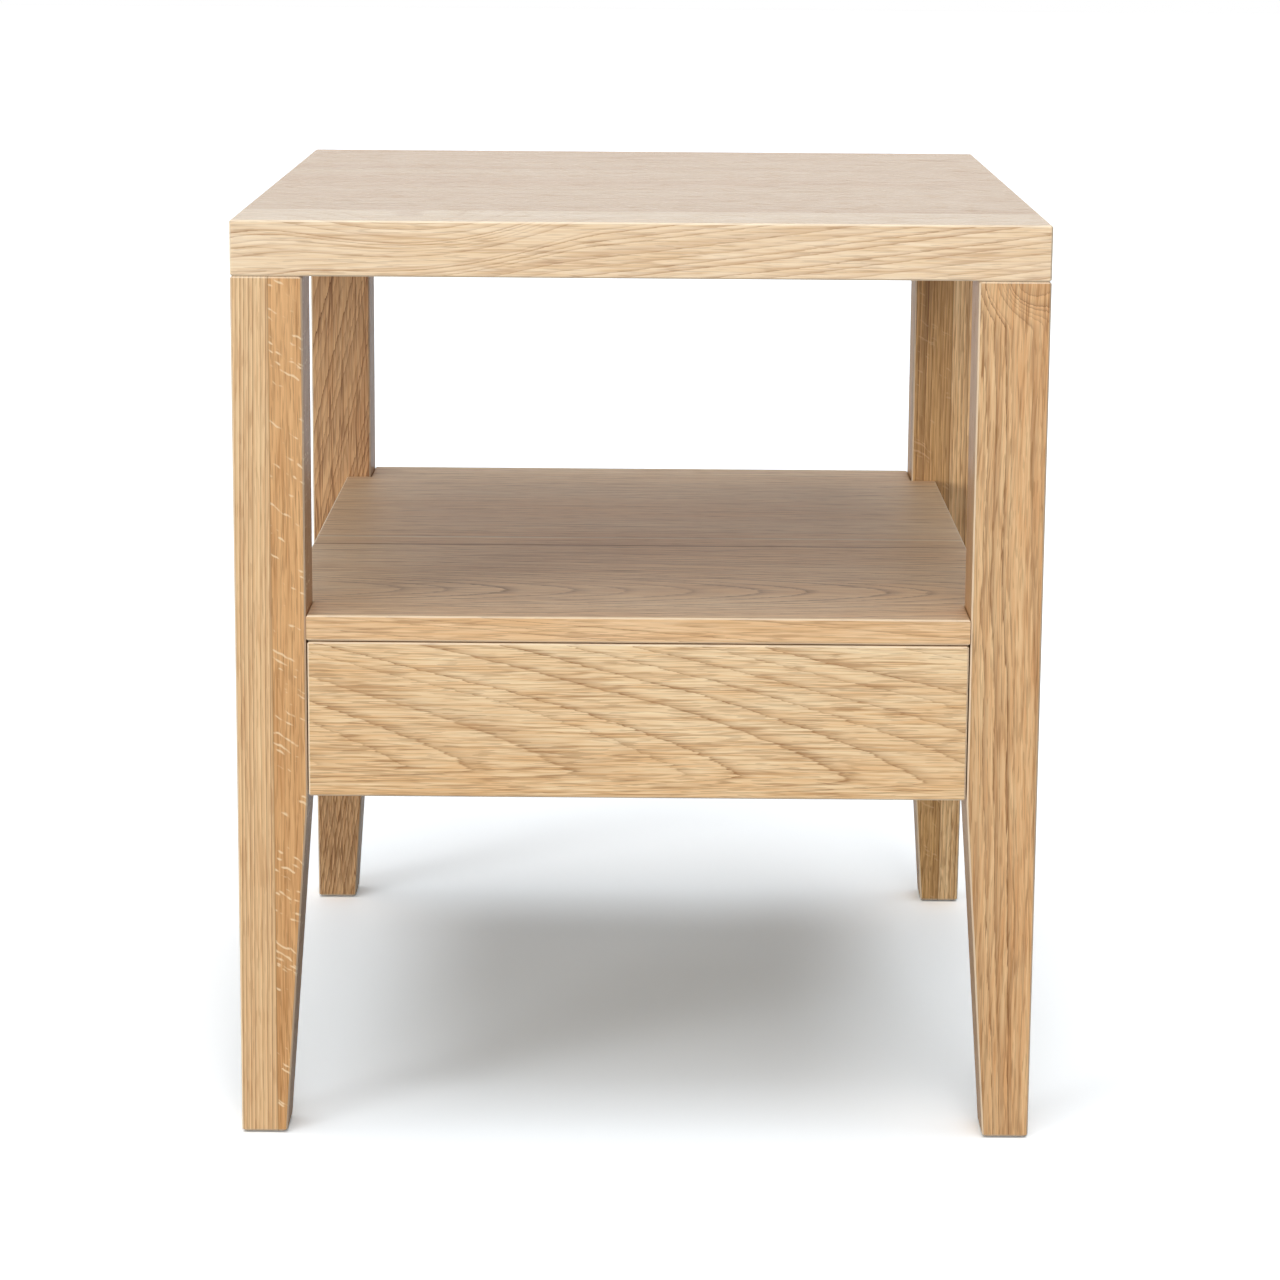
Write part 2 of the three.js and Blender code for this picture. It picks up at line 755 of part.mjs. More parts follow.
for (const legPlace of legPlaces) {
  place(table, legPlace.name, geometryOf(leg(legPlace)), oak);
  const { x, y } = footMiddle(legPlace);
  const glide = place(table, legPlace.name.replace("leg", "glide"), glideGeometry(0), nylon);
  glide.position.set(x, y, 0);
}

for (const { name, x, y } of topDowelPlaces()) {
  const length = topDowelInLeg + topDowelInTop;
  const dowel = place(table, name, dowelGeometry(topDowelRadius, length), beech);
  dowel.position.set(x, y, topUnderside - topDowelInLeg);
}

for (const { name, x, y } of shelfDowelPlaces()) {
  const length = shelfUnderside + shelfDowelInShelf - railTop + shelfDowelInRail;
  const dowel = place(table, name, dowelGeometry(shelfDowelRadius, length), beech);
  dowel.position.set(x, y, railTop - shelfDowelInRail);
}

const drawer = new THREE.Group();
table.add(drawer);
place(drawer, "drawer_front", geometryOf(drawerFront()), oak);
place(drawer, "drawer_box_front", geometryOf(boxEnd(boxFront, frontScrewHoles())), birch);
place(drawer, "drawer_box_back", geometryOf(boxEnd(boxBack, [])), birch);
place(drawer, "drawer_bottom", geometryOf(bottomPanelBlock(0)), plywood);

for (const { name, x, z } of frontScrewPlaces()) {
  place(drawer, name, placedPanScrew(panScrewGeometry(0), x, z), screwSteel);
}

for (const [side, label] of [[-1, "left"], [1, "right"]]) {
  place(table, `side_rail_${label}`, geometryOf(sideRail(side)), oak);
  place(drawer, `drawer_side_${label}`, geometryOf(boxSide(side)), birch);

  const slide = new THREE.Group();
  slide.position.set(side * slideSeat, 0, boxMiddle);
  slide.rotation.y = side > 0 ? Math.PI : 0;
  table.add(slide);
  place(slide, `slide_cabinet_member_${label}`, geometryOf(cabinetMember()), zincSteel);
  place(slide, `slide_middle_member_${label}`, geometryOf(middleMember()), zincSteel);
  place(slide, `slide_drawer_member_${label}`, geometryOf(drawerMember()), zincSteel);
  place(slide, `slide_outer_cage_${label}`, geometryOf(outerCage()), zincSteel);
  place(slide, `slide_inner_cage_${label}`, geometryOf(innerCage()), zincSteel);
  cabinetScrewShares.forEach((share, i) => {
    place(slide, `cabinet_screw_${label}_${i + 1}`, cabinetScrewGeometry(share, 0), screwSteel);
  });
  drawerScrewShares.forEach((share, i) => {
    place(slide, `drawer_screw_${label}_${i + 1}`, drawerScrewGeometry(share, 0), screwSteel);
  });
}

export default table;
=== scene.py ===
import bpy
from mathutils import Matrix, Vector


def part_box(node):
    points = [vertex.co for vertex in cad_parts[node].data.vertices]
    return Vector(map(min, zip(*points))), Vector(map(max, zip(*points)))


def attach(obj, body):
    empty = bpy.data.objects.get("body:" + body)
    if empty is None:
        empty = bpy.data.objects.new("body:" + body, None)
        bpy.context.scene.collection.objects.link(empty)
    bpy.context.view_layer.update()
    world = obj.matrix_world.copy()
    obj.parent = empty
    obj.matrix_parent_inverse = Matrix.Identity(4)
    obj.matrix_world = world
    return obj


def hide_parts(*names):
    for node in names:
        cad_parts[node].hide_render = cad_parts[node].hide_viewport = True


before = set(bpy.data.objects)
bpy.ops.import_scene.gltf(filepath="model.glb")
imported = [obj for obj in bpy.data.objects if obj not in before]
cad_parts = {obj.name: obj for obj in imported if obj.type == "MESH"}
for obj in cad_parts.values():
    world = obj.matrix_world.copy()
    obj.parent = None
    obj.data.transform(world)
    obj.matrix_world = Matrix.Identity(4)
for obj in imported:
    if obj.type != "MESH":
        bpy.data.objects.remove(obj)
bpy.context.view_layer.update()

# Oak side table with an open shelf and one drawer: wood, hardware, light and camera.
# Metres, +Z up, front towards -Y. Values in the dictionaries are in millimetres unless they say otherwise.
import math

import bmesh
import bpy
from mathutils import Euler, Matrix, Vector

mm = 0.001
quarter = math.pi / 2
scene = bpy.context.scene


def linearColour(hexColour):
    # sRGB hex to the linear colour that the shaders take
    channels = [int(hexColour[i:i + 2], 16) / 255 for i in (1, 3, 5)]
    linear = [c / 12.92 if c <= 0.04045 else ((c + 0.055) / 1.055) ** 2.4 for c in channels]
    return (*linear, 1.0)


def addNode(tree, kind, inputs=None, ramp=None, **settings):
    # A node with its settings, its values and its links; a node given as a value links its first output
    # A kind without the word Node in it is a shader node's
    node = tree.nodes.new(kind if "Node" in kind else "ShaderNode" + kind)
    for name, value in settings.items():
        setattr(node, name, value)
    used = [socket for socket in node.inputs if socket.enabled]
    for key, value in (inputs or {}).items():
        socket = used[key] if isinstance(key, int) else next(s for s in used if s.name == key)
        if isinstance(value, bpy.types.Node):
            value = next(output for output in value.outputs if output.enabled)
        if isinstance(value, bpy.types.NodeSocket):
            tree.links.new(value, socket)
        else:
            socket.default_value = value
    for i, (place, level) in enumerate(ramp or []):
        elements = node.color_ramp.elements
        element = elements[i] if i < 2 else elements.new(place)
        element.position = place
        element.color = (level, level, level, 1.0)
    return node


def newMaterial(name):
    material = bpy.data.materials.new(name)
    material.use_nodes = True
    material.node_tree.nodes.clear()
    return material, material.node_tree


def span(value, word, limits):
    # Inputs of a map range node whose From or To limits are a pair
    return {"Value": value, word + " Min": limits[0], word + " Max": limits[1]}


def addSurface(tree, look, height, inputs):
    # The shader that ends a material, with a bump from the height
    bump = addNode(tree, "Bump", {
        "Height": height, "Strength": look["bump"], "Distance": look["bumpDepth"] * mm,
    })
    surface = addNode(tree, "BsdfPrincipled", {**inputs, "Normal": bump})
    addNode(tree, "OutputMaterial", {"Surface": surface})


print("stage: camera")
camera = {
    "lens": 106.18,
    "sensor": 36.0,
    "place": (5.7, -2592.6, 786.7),
    "turn": (78.541, -0.393, 0.194),  # degrees
}
cameraData = bpy.data.cameras.new("camera")
cameraData.lens = camera["lens"]
cameraData.sensor_width = camera["sensor"]
cameraObject = bpy.data.objects.new("camera", cameraData)
cameraObject.location = Vector(camera["place"]) * mm
cameraObject.rotation_euler = Euler([math.radians(a) for a in camera["turn"]])
scene.collection.objects.link(cameraObject)
scene.camera = cameraObject

print("stage: light and floor")
scene.view_settings.view_transform = "Standard"
studio = {
    "sky": 0.08,  # strength of the plain sky that fills the shade
    "lamps": {  # degrees above the floor, round from the front, and of spread; watts a square metre
        "keyLight": (50, 0, 40, 0.5),
        "topLight": (90, 0, 60, 1.2),
        "leftLight": (3, -42, 24, 2.5),
        "rightLight": (12, 4, 24, 0.95),
        "backLight": (6, 180, 24, 0.7),
    },
    "glareLamp": "backLight",  # not mirrored, or it would whiten the top
    "floorSize": 40000,
    "floorShade": "#f5fafe",
    "floorLift": 1.92,  # how much brighter the camera sees the floor, so that only the shadow is grey
    "floorBounce": "#7b7b7b",  # what the floor throws back at the table
}

for name, (height, side, spread, power) in studio["lamps"].items():
    light = bpy.data.lights.new(name, "SUN")
    light.energy = power
    light.angle = math.radians(spread)
    lamp = bpy.data.objects.new(name, light)
    lamp.rotation_euler = Euler((math.radians(90 - height), 0, math.radians(side)))
    lamp.visible_glossy = name != studio["glareLamp"]
    scene.collection.objects.link(lamp)


def seenRays(tree, withCamera=True):
    # 1 for what is mirrored or seen through glass, and for what the camera sees; 0 for what lights the table
    rays = addNode(tree, "LightPath").outputs
    names = ["Is Glossy Ray", "Is Transmission Ray"] + ["Is Camera Ray"] * withCamera
    seen = rays[names[0]]
    for name in names[1:]:
        seen = addNode(tree, "Math", {0: seen, 1: rays[name]}, operation="MAXIMUM")
    return seen


# Plain sky, white where it is seen or mirrored
world = bpy.data.worlds.new("studio")
scene.world = world
world.use_nodes = True
tree = world.node_tree
tree.nodes.clear()
strength = addNode(tree, "Mix", {"Factor": seenRays(tree), "A": studio["sky"], "B": 1.0}, data_type="FLOAT")
sky = addNode(tree, "Background", {"Color": (1, 1, 1, 1), "Strength": strength})
addNode(tree, "OutputWorld", {"Surface": sky})

# Matt white paper floor
floorMaterial, tree = newMaterial("paperFloor")
shade = linearColour(studio["floorShade"])
tint = addNode(tree, "Mix", {
    "Factor": seenRays(tree, withCamera=False), "A": linearColour(studio["floorBounce"]), "B": shade,
}, data_type="RGBA")
tint = addNode(tree, "Mix", {
    "Factor": addNode(tree, "LightPath").outputs["Is Camera Ray"], "A": tint,
    "B": (*(channel * studio["floorLift"] for channel in shade[:3]), 1.0),
}, data_type="RGBA")
paper = addNode(tree, "BsdfDiffuse", {"Color": tint})
addNode(tree, "OutputMaterial", {"Surface": paper})

half = studio["floorSize"] * mm / 2
floorMesh = bpy.data.meshes.new("floor")
floorCorners = [(-half, -half, 0), (half, -half, 0), (half, half, 0), (-half, half, 0)]
floorMesh.from_pydata(floorCorners, [], [(0, 1, 2, 3)])
floorMesh.materials.append(floorMaterial)
floor = bpy.data.objects.new("floor", floorMesh)
scene.collection.objects.link(floor)

print("stage: wood")
# Every wood is cut from one round tree: rings about a heart line, fibres and pores along it
# Edge Share and Edge are the strength and colour of a painted highlight on eased edges
woodInputs = {  # what each board gives, beside the direction of its grain
    "Vector": ("Heart", "Lean", "Knot"),
    "Float": ("Ring Width", "Uneven", "Wander", "Jag", "Fold", "Squeeze", "Knot Size", "Early", "Seed",
              "Ring Share", "Line Share", "Pore Share", "Fleck Share", "Edge Share", "Roughness"),
    "Color": ("Light", "Mid", "Dark", "Pore", "Fleck", "Edge"),
}
mixKinds = {"Vector": "VECTOR", "Float": "FLOAT", "Color": "RGBA"}
woodScales = {  # repeats for each metre along the fibres and across them
    "wander": (2.4, 8.0, 8.0),
    "cloud": (1.6, 13.0, 13.0),
    "streak": (11.0, 260.0, 260.0),
    "line": (15.0, 430.0, 430.0),
    "fibre": (26.0, 680.0, 680.0),
    "pore": (52.0, 900.0, 900.0),  # real oak pores are 0.3 mm wide, drawn at 0.5 mm to show
    "fleck": (28.0, 430.0, 60.0),  # along a ray fleck, across it and into the wood
    "fleckWave": (60.0, 130.0, 130.0),
}
woodFigure = {  # a pair is the noise value at which something starts to show, and at which it shows in full
    "seedShift": (3.1, 7.7, 5.3),
    "foldRound": 12.0,  # millimetres over which folded rings round off
    "knotSwell": 0.6,  # of the knot's size
    "fibreRoughness": 0.65,
    "unevenScale": 0.37,  # repeats for each ring
    "faintRing": 0.3,
    "springFade": 2.5,  # how far the spring wood fades out, as a multiple of its share
    "springRamp": [(0.0, 0.0), (1.0, 0.0), (0.06, 1.0), (0.18, 0.5), (0.4, 0.32), (0.7, 0.04)],
    "streakTone": 0.6,
    "fibreTone": 1.35,
    "tone": (0.5, 1.1),
    "line": (0.075, 0.015),
    "boldLine": (0.38, 0.62),
    "faintLine": 0.25,
    "pore": (0.56, 0.62),
    "latePores": 0.4,  # share of the pores outside the spring wood
    "poreRoughness": 0.6,
    "fleckTurn": -120.0,  # degrees from the fibres
    "fleckBend": 1.9,
    "fleckChosen": 0.68,  # share of the rays left out
    "fleck": (0.38, 0.18),
    # the painted edge highlight starts and is full at these values
    "paintedHighlightFacing": (0.95, 0.8),  # the largest part of a face's normal
    "bump": 0.35,
    "bumpDepth": 0.25,  # millimetres
    "ior": 1.48,
    "glueLine": (0.2, 0.7),  # millimetres from the joint, where it is full and where it ends
}


def buildWood():
    look = woodFigure
    tree = bpy.data.node_groups.new("wood", "ShaderNodeTree")
    tree.interface.new_socket("Grain", in_out="INPUT", socket_type="NodeSocketVector")
    for kind, names in woodInputs.items():
        for name in names:
            tree.interface.new_socket(name, in_out="INPUT", socket_type="NodeSocket" + kind)
    for name, kind in (("Colour", "Color"), ("Roughness", "Float"), ("Height", "Float")):
        tree.interface.new_socket(name, in_out="OUTPUT", socket_type="NodeSocket" + kind)
    given = addNode(tree, "NodeGroupInput").outputs
    shift = {0: look["seedShift"], 1: given["Seed"], 2: given["Grain"]}
    seeded = addNode(tree, "VectorMath", shift, operation="MULTIPLY_ADD")

    def noise(scale, detail, base=seeded, **more):
        place = addNode(tree, "VectorMath", {0: base, 1: woodScales[scale]}, operation="MULTIPLY")
        return addNode(tree, "TexNoise", {"Vector": place, "Scale": 1.0, "Detail": detail, **more})

    # Distance from the heart line, which leans and wanders
    along = addNode(tree, "VectorMath", {0: given["Grain"], 1: given["Heart"]}, operation="SUBTRACT")
    far = addNode(tree, "SeparateXYZ", {0: along}).outputs[0]
    leaning = addNode(tree, "VectorMath", {0: given["Lean"], "Scale": far}, operation="SCALE")
    across = addNode(tree, "VectorMath", {0: along, 1: leaning}, operation="SUBTRACT")
    drift = noise("wander", 2.0).outputs["Color"]
    drift = addNode(tree, "VectorMath", {0: drift, 1: (0.5, 0.5, 0.5)}, operation="SUBTRACT")
    drift = addNode(tree, "VectorMath", {0: drift, "Scale": given["Wander"]}, operation="SCALE")
    across = addNode(tree, "VectorMath", {0: across, 1: drift}, operation="ADD")
    flowing = addNode(tree, "VectorMath", {0: seeded, 1: drift}, operation="ADD")  # the fibres too

    # Past the fold the rings turn back and lie closer
    flat = addNode(tree, "SeparateXYZ", {0: across}).outputs
    back = addNode(tree, "Math", {0: flat[2], 1: given["Fold"]}, operation="SUBTRACT")
    back = addNode(tree, "Math", {0: back, 1: given["Squeeze"]}, operation="MULTIPLY")
    back = addNode(tree, "Math", {0: given["Fold"], 1: back}, operation="SUBTRACT")
    back = addNode(tree, "Math", {0: flat[2], 1: back, 2: look["foldRound"] * mm}, operation="SMOOTH_MAX")
    flat = addNode(tree, "CombineXYZ", {1: flat[1], 2: back})
    radius = addNode(tree, "VectorMath", {0: flat}, operation="LENGTH").outputs["Value"]

    # A knot swells the rings round it
    near = addNode(tree, "VectorMath", {0: given["Grain"], 1: given["Knot"]}, operation="DISTANCE")
    swell = addNode(tree, "Math", {0: given["Knot Size"], 1: look["knotSwell"]}, operation="MULTIPLY")
    swell = addNode(tree, "MapRange", {
        "Value": near.outputs["Value"], "From Min": given["Knot Size"], "From Max": 0.0, "To Max": swell,
    }, interpolation_type="SMOOTHSTEP")
    radius = addNode(tree, "Math", {0: radius, 1: swell}, operation="ADD")

    # Fibres shift the rings a little, so a ring that crosses them shows as short dashes
    fibre = noise("fibre", 3.0, flowing, Roughness=look["fibreRoughness"])
    fibre = addNode(tree, "Math", {0: fibre, 1: 0.5}, operation="SUBTRACT")
    radius = addNode(tree, "Math", {0: fibre, 1: given["Jag"], 2: radius}, operation="MULTIPLY_ADD")

    # Each ring has its own width and strength, and starts with dark spring wood
    turns = addNode(tree, "Math", {0: radius, 1: given["Ring Width"]}, operation="DIVIDE")
    uneven = addNode(tree, "TexNoise", {"W": turns, "Scale": look["unevenScale"], "Detail": 1.0},
                     noise_dimensions="1D")
    turns = addNode(tree, "Math", {0: uneven, 1: given["Uneven"], 2: turns}, operation="MULTIPLY_ADD")
    within = addNode(tree, "Math", {0: turns}, operation="FRACT")
    number = addNode(tree, "Math", {0: turns}, operation="FLOOR")
    strong = addNode(tree, "TexWhiteNoise", {"W": number}, noise_dimensions="1D").outputs["Value"]
    strong = addNode(tree, "MapRange", {"Value": strong, "To Min": look["faintRing"]})
    within = addNode(tree, "Math", {0: within, 1: given["Early"]}, operation="DIVIDE")
    within = addNode(tree, "Math", {0: within, 1: look["springFade"]}, operation="DIVIDE")
    ring = addNode(tree, "ValToRGB", {0: within}, ramp=look["springRamp"])
    ring = addNode(tree, "Math", {0: ring, 1: strong}, operation="MULTIPLY")

    # Broad clouds and narrow streaks of tone
    streak = noise("streak", 2.0, flowing)
    tone = addNode(tree, "Math", {0: streak, 1: look["streakTone"], 2: noise("cloud", 1.0)},
                   operation="MULTIPLY_ADD")
    tone = addNode(tree, "Math", {0: fibre, 1: look["fibreTone"], 2: tone}, operation="MULTIPLY_ADD")
    tone = addNode(tree, "MapRange", span(tone, "From", look["tone"]))

    # Thin dark grain lines, bolder in the darker streaks
    line = addNode(tree, "Math", {0: noise("line", 1.0, flowing), 1: 0.5}, operation="SUBTRACT")
    line = addNode(tree, "Math", {0: line}, operation="ABSOLUTE")
    line = addNode(tree, "MapRange", span(line, "From", look["line"]))
    bold = addNode(tree, "MapRange", {
        **span(streak, "From", look["boldLine"]), "To Min": look["faintLine"],
    })
    line = addNode(tree, "Math", {0: line, 1: bold}, operation="MULTIPLY")

    # Open pores, most of them in the spring wood
    pore = addNode(tree, "MapRange", span(noise("pore", 1.0, flowing), "From", look["pore"]),
                   interpolation_type="SMOOTHSTEP")
    crowd = addNode(tree, "MapRange", {"Value": ring, "To Min": look["latePores"]})
    pore = addNode(tree, "Math", {0: pore, 1: crowd}, operation="MULTIPLY")

    # Rays cut along their length: a few pale curved strokes at a slant over the fibres
    stroke = addNode(tree, "VectorRotate", {
        "Vector": seeded, "Angle": math.radians(look["fleckTurn"]),
    }, rotation_type="Z_AXIS")
    stroke = addNode(tree, "VectorMath", {0: stroke, 1: woodScales["fleck"]}, operation="MULTIPLY")
    stroke = addNode(tree, "VectorMath", {
        0: noise("fleckWave", 1.0).outputs["Color"], 1: (look["fleckBend"],) * 3, 2: stroke,
    }, operation="MULTIPLY_ADD")
    fleck = addNode(tree, "TexVoronoi", {"Vector": stroke, "Scale": 1.0}).outputs
    chosen = addNode(tree, "SeparateXYZ", {0: fleck["Color"]})
    chosen = addNode(tree, "Math", {0: chosen, 1: look["fleckChosen"]}, operation="GREATER_THAN")
    fleck = addNode(tree, "MapRange", span(fleck["Distance"], "From", look["fleck"]))
    fleck = addNode(tree, "Math", {0: fleck, 1: chosen}, operation="MULTIPLY")

    # Eased edges get a painted highlight, a paler colour: their faces stand at a slant to all three axes
    facing = addNode(tree, "NewGeometry").outputs["True Normal"]
    facing = addNode(tree, "VectorMath", {0: facing}, operation="ABSOLUTE")
    facing = addNode(tree, "SeparateXYZ", {0: facing}).outputs
    most = addNode(tree, "Math", {0: facing[0], 1: facing[1]}, operation="MAXIMUM")
    most = addNode(tree, "Math", {0: most, 1: facing[2]}, operation="MAXIMUM")
    paintedEdgeHighlight = addNode(tree, "MapRange", span(most, "From", look["paintedHighlightFacing"]))

    colour = addNode(tree, "Mix", {"Factor": tone, "A": given["Light"], "B": given["Mid"]}, data_type="RGBA")
    layers = ((ring, "Ring Share", "Dark"), (line, "Line Share", "Dark"), (pore, "Pore Share", "Pore"),
              (fleck, "Fleck Share", "Fleck"), (paintedEdgeHighlight, "Edge Share", "Edge"))
    for layer, share, tint in layers:
        layer = addNode(tree, "Math", {0: layer, 1: given[share]}, operation="MULTIPLY")
        colour = addNode(tree, "Mix", {"Factor": layer, "A": colour, "B": given[tint]}, data_type="RGBA")
    limits = (given["Roughness"], look["poreRoughness"])
    roughness = addNode(tree, "MapRange", span(pore, "To", limits))
    height = addNode(tree, "Math", {0: pore, 1: -1.0, 2: streak}, operation="MULTIPLY_ADD")
    addNode(tree, "NodeGroupOutput", {"Colour": colour, "Roughness": roughness, "Height": height})
    return tree


woodGroup = buildWood()

plainOak = {
    "heart": (0, 0, 160),  # the tree's middle: millimetres along the grain, then across it
    "lean": (0.0, 0.0),  # how far it moves across for each metre along
    "ringWidth": 3.2,
    "uneven": 2.2,  # how much wide and narrow rings differ
    "wander": 9.0,  # how far the rings sway
    "jag": 1.3,  # how far the fibres shift them
    "fold": 0.0,  # how far from the heart the rings turn back
    "squeeze": 1.0,  # and how many times closer they lie from there on
    "knot": (0, 0, 9000),  # the middle of a knot, which the rings swell round
    "knotSize": 1.0,
    "early": 0.22,  # share of a ring that is dark spring wood
    "seed": 1.0,
    "light": "#f2d5a8",
    "mid": "#d6a975",
    "dark": "#a5743f",
    "pore": "#8c6233",
    "fleck": "#f2d8b0",
    # the colour of the painted highlight on eased edges
    "edge": "#fbeed6",
    "ringShare": 0.8,
    "lineShare": 0.5,
    "poreShare": 0.7,
    "fleckShare": 0.0,
    # how strong the painted edge highlight is
    "edgeShare": 0.5,
    "roughness": 0.34,
    "glue": 0.0,  # how dark the joint before the board is
}
lengthInputs = ("Heart", "Knot", "Knot Size", "Ring Width", "Wander", "Jag", "Fold")
axisOrder = {"X": (0, 1, 2), "Y": (1, 0, 2), "Z": (2, 0, 1)}


def boardValue(board, label):
    # What a board gives to an input of the wood group, in metres, as a plain number or as a colour
    value = board[label[0].lower() + label[1:].replace(" ", "")]
    if isinstance(value, str):
        return linearColour(value)
    scale = mm if label in lengthInputs else 1.0
    if isinstance(value, tuple):
        return (*[0.0] * (3 - len(value)), *(part * scale for part in value))
    return value * scale


def makeWood(name, along, boards, across="X", base=plainOak, gloss=0.35):
    # One material for a glued-up piece: each board after the first starts at its "start" on the across axis
    material, tree = newMaterial(name)
    boards = [{**base, **board} for board in boards]
    place = addNode(tree, "TexCoord").outputs["Object"]
    parts = addNode(tree, "SeparateXYZ", {0: place}).outputs
    side = parts["XYZ".index(across)]
    masks = [addNode(tree, "Math", {0: side, 1: board["start"] * mm}, operation="GREATER_THAN")
             for board in boards[1:]]
    grain = {i: parts[axis] for i, axis in enumerate(axisOrder[along])}
    values = {"Grain": addNode(tree, "CombineXYZ", grain)}
    for kind, labels in woodInputs.items():
        for label in labels:
            values[label] = last = boardValue(boards[0], label)
            for board, mask in zip(boards[1:], masks):
                if boardValue(board, label) != last:
                    last = boardValue(board, label)
                    mix = {"Factor": mask, "A": values[label], "B": last}
                    values[label] = addNode(tree, "Mix", mix, data_type=mixKinds[kind])
    figure = addNode(tree, "Group", values, node_tree=woodGroup).outputs

    # A glue line is a hair darker than the wood beside it
    limits = [distance * mm for distance in woodFigure["glueLine"]]
    colour = figure["Colour"]
    for board in boards[1:]:
        gap = addNode(tree, "Math", {0: side, 1: board["start"] * mm}, operation="SUBTRACT")
        gap = addNode(tree, "Math", {0: gap}, operation="ABSOLUTE")
        line = addNode(tree, "MapRange", {
            **span(gap, "From", limits), "To Min": board["glue"], "To Max": 0.0,
        })
        colour = addNode(tree, "Mix", {
            "Factor": line, "A": colour, "B": linearColour(board["pore"]),
        }, data_type="RGBA")
    addSurface(tree, woodFigure, figure["Height"], {
        "Base Color": colour, "Roughness": figure["Roughness"], "IOR": woodFigure["ior"],
        "Specular IOR Level": gloss,
    })
    return material


def dress(node, material):
    # Gives a CAD node its finish
    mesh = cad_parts[node].data
    mesh.materials.clear()
    mesh.materials.append(material)


# Solid oak, planed and sanded, with a clear matt oil: warm tan, open pores, a soft sheen at a low angle
# Board positions are in millimetres; a front edge has a board of its own, and the shelf's top face is painted
# lighter than its front edge, as painted light
topFront = {
    "heart": (0, -330, 400), "lean": (0.0, 0.13), "knot": (-130, -300, 663), "knotSize": 141,
    "ringWidth": 5.0, "seed": 2.0, "light": "#fae5c6", "mid": "#ebcca3", "dark": "#a0672f", "early": 0.3,
    "ringShare": 0.9, "lineShare": 0.3, "poreShare": 0.6, "roughness": 0.25,
}
topRear = {"light": "#e4c8a4", "lineShare": 0.3, "roughness": 0.26}
dress("top_panel", makeWood("oiledOakTop", "X", [
    topFront,
    {**topFront, "start": -298.6, "dark": "#a9713c", "early": 0.2, "ringShare": 0.4},
    {**topRear, "start": -222, "heart": (0, -20, 330), "lean": (0.05, 0.05), "ringWidth": 4.0, "seed": 3.0,
     "mid": "#d4ae85", "ringShare": 0.4, "glue": 0.5},
    {**topRear, "start": 120, "heart": (0, 240, 350), "lean": (-0.04, 0.04), "ringWidth": 3.6, "seed": 4.0,
     "mid": "#d1aa80", "ringShare": 0.45, "glue": 0.6},
], across="Y", gloss=0.5))
shelfFront = {
    "heart": (0, -209, 247), "lean": (0.0, -0.085), "ringWidth": 3.4, "seed": 5.0, "wander": 5.0,
    "lineShare": 0.4, "poreShare": 0.5, "roughness": 0.5,
}
shelfRear = {
    "heart": (0, 600, 200), "lean": (0.01, 0.02), "ringWidth": 3.2, "seed": 6.0, "wander": 5.0,
    "light": "#fce4c3", "mid": "#f2cfa6", "dark": "#8a5c34", "ringShare": 0.6, "lineShare": 0.4,
    "poreShare": 0.5, "roughness": 0.5,
}
# The shelf's top face is painted lighter than its front edge, the first board: painted light where the top
# above shades it
dress("shelf_panel", makeWood("oiledOakShelf", "X", [
    {**shelfFront, "light": "#f3d3a9", "mid": "#e2b887", "dark": "#8f6038", "early": 0.12, "ringShare": 0.9},
    {**shelfFront, "start": -298.6, "light": "#fce4c3", "mid": "#f2cfa6", "dark": "#855730", "early": 0.2,
     "ringShare": 1.0},
    {**shelfRear, "start": -45, "light": "#c79c70", "mid": "#a87a4e", "dark": "#7d4f2a", "ringShare": 0.8,
     "lineShare": 0.5, "poreShare": 0.7},  # a dark line along the joint
    {**shelfRear, "start": -42, "light": "#f9e0be", "mid": "#eecaa0"},
    # the pale strip beside the joint is a painted highlight
    {**shelfRear, "start": -16, "light": "#fff1da", "mid": "#fce6c8", "dark": "#b98a5a", "lineShare": 0.2,
     "poreShare": 0.3},  # and a pale one
    {**shelfRear, "start": -11, "glue": 1.0},
], across="Y"))
dress("drawer_front", makeWood("oiledOakDrawerFront", "X", [
    {"heart": (0, 0, 201), "lean": (0.075, -0.025), "fold": 35, "squeeze": 5.0, "ringWidth": 3.7, "seed": 7.0,
     "wander": 7.0, "early": 0.18, "light": "#f6ddb4", "mid": "#e4bb89", "dark": "#96632f"},
]))

# The legs: two staves each, but for the two that show one; the inner faces of the front legs are painted a
# little darker, as painted shade
rayStave = {"heart": (0, -900, -320), "ringWidth": 1.7, "seed": 9.0, "dark": "#a06b36", "ringShare": 0.3,
            "fleckShare": 0.75}
dress("leg_front_left", makeWood("oiledOakLegFrontLeft", "Z", [
    {"heart": (0, -600, -300), "lean": (0.01, 0.0), "ringWidth": 2.6, "seed": 8.0, "wander": 4.0,
     "early": 0.65, "uneven": 0.8, "jag": 0.6, "light": "#fbdcac", "mid": "#eec491", "dark": "#8a4f1f",
     "pore": "#9f6a37", "ringShare": 1.0, "lineShare": 0.2, "poreShare": 0.5},
    {**rayStave, "start": -227, "light": "#e4b57f", "mid": "#c99560", "glue": 0.5},
    # the inner face, painted darker: painted shade
    {**rayStave, "start": -206.5, "light": "#d6a875", "mid": "#bd8a58"},
]))
riftStave = {
    "heart": (300, 175, -190), "lean": (-0.03, 0.0), "knot": (548, 233, -300), "knotSize": 34,
    "ringWidth": 3.4, "wander": 26.0, "seed": 10.0, "early": 0.42, "jag": 1.8, "light": "#ecc898",
    "mid": "#d6a36f", "dark": "#7a4c24", "ringShare": 1.0, "lineShare": 0.4,
}
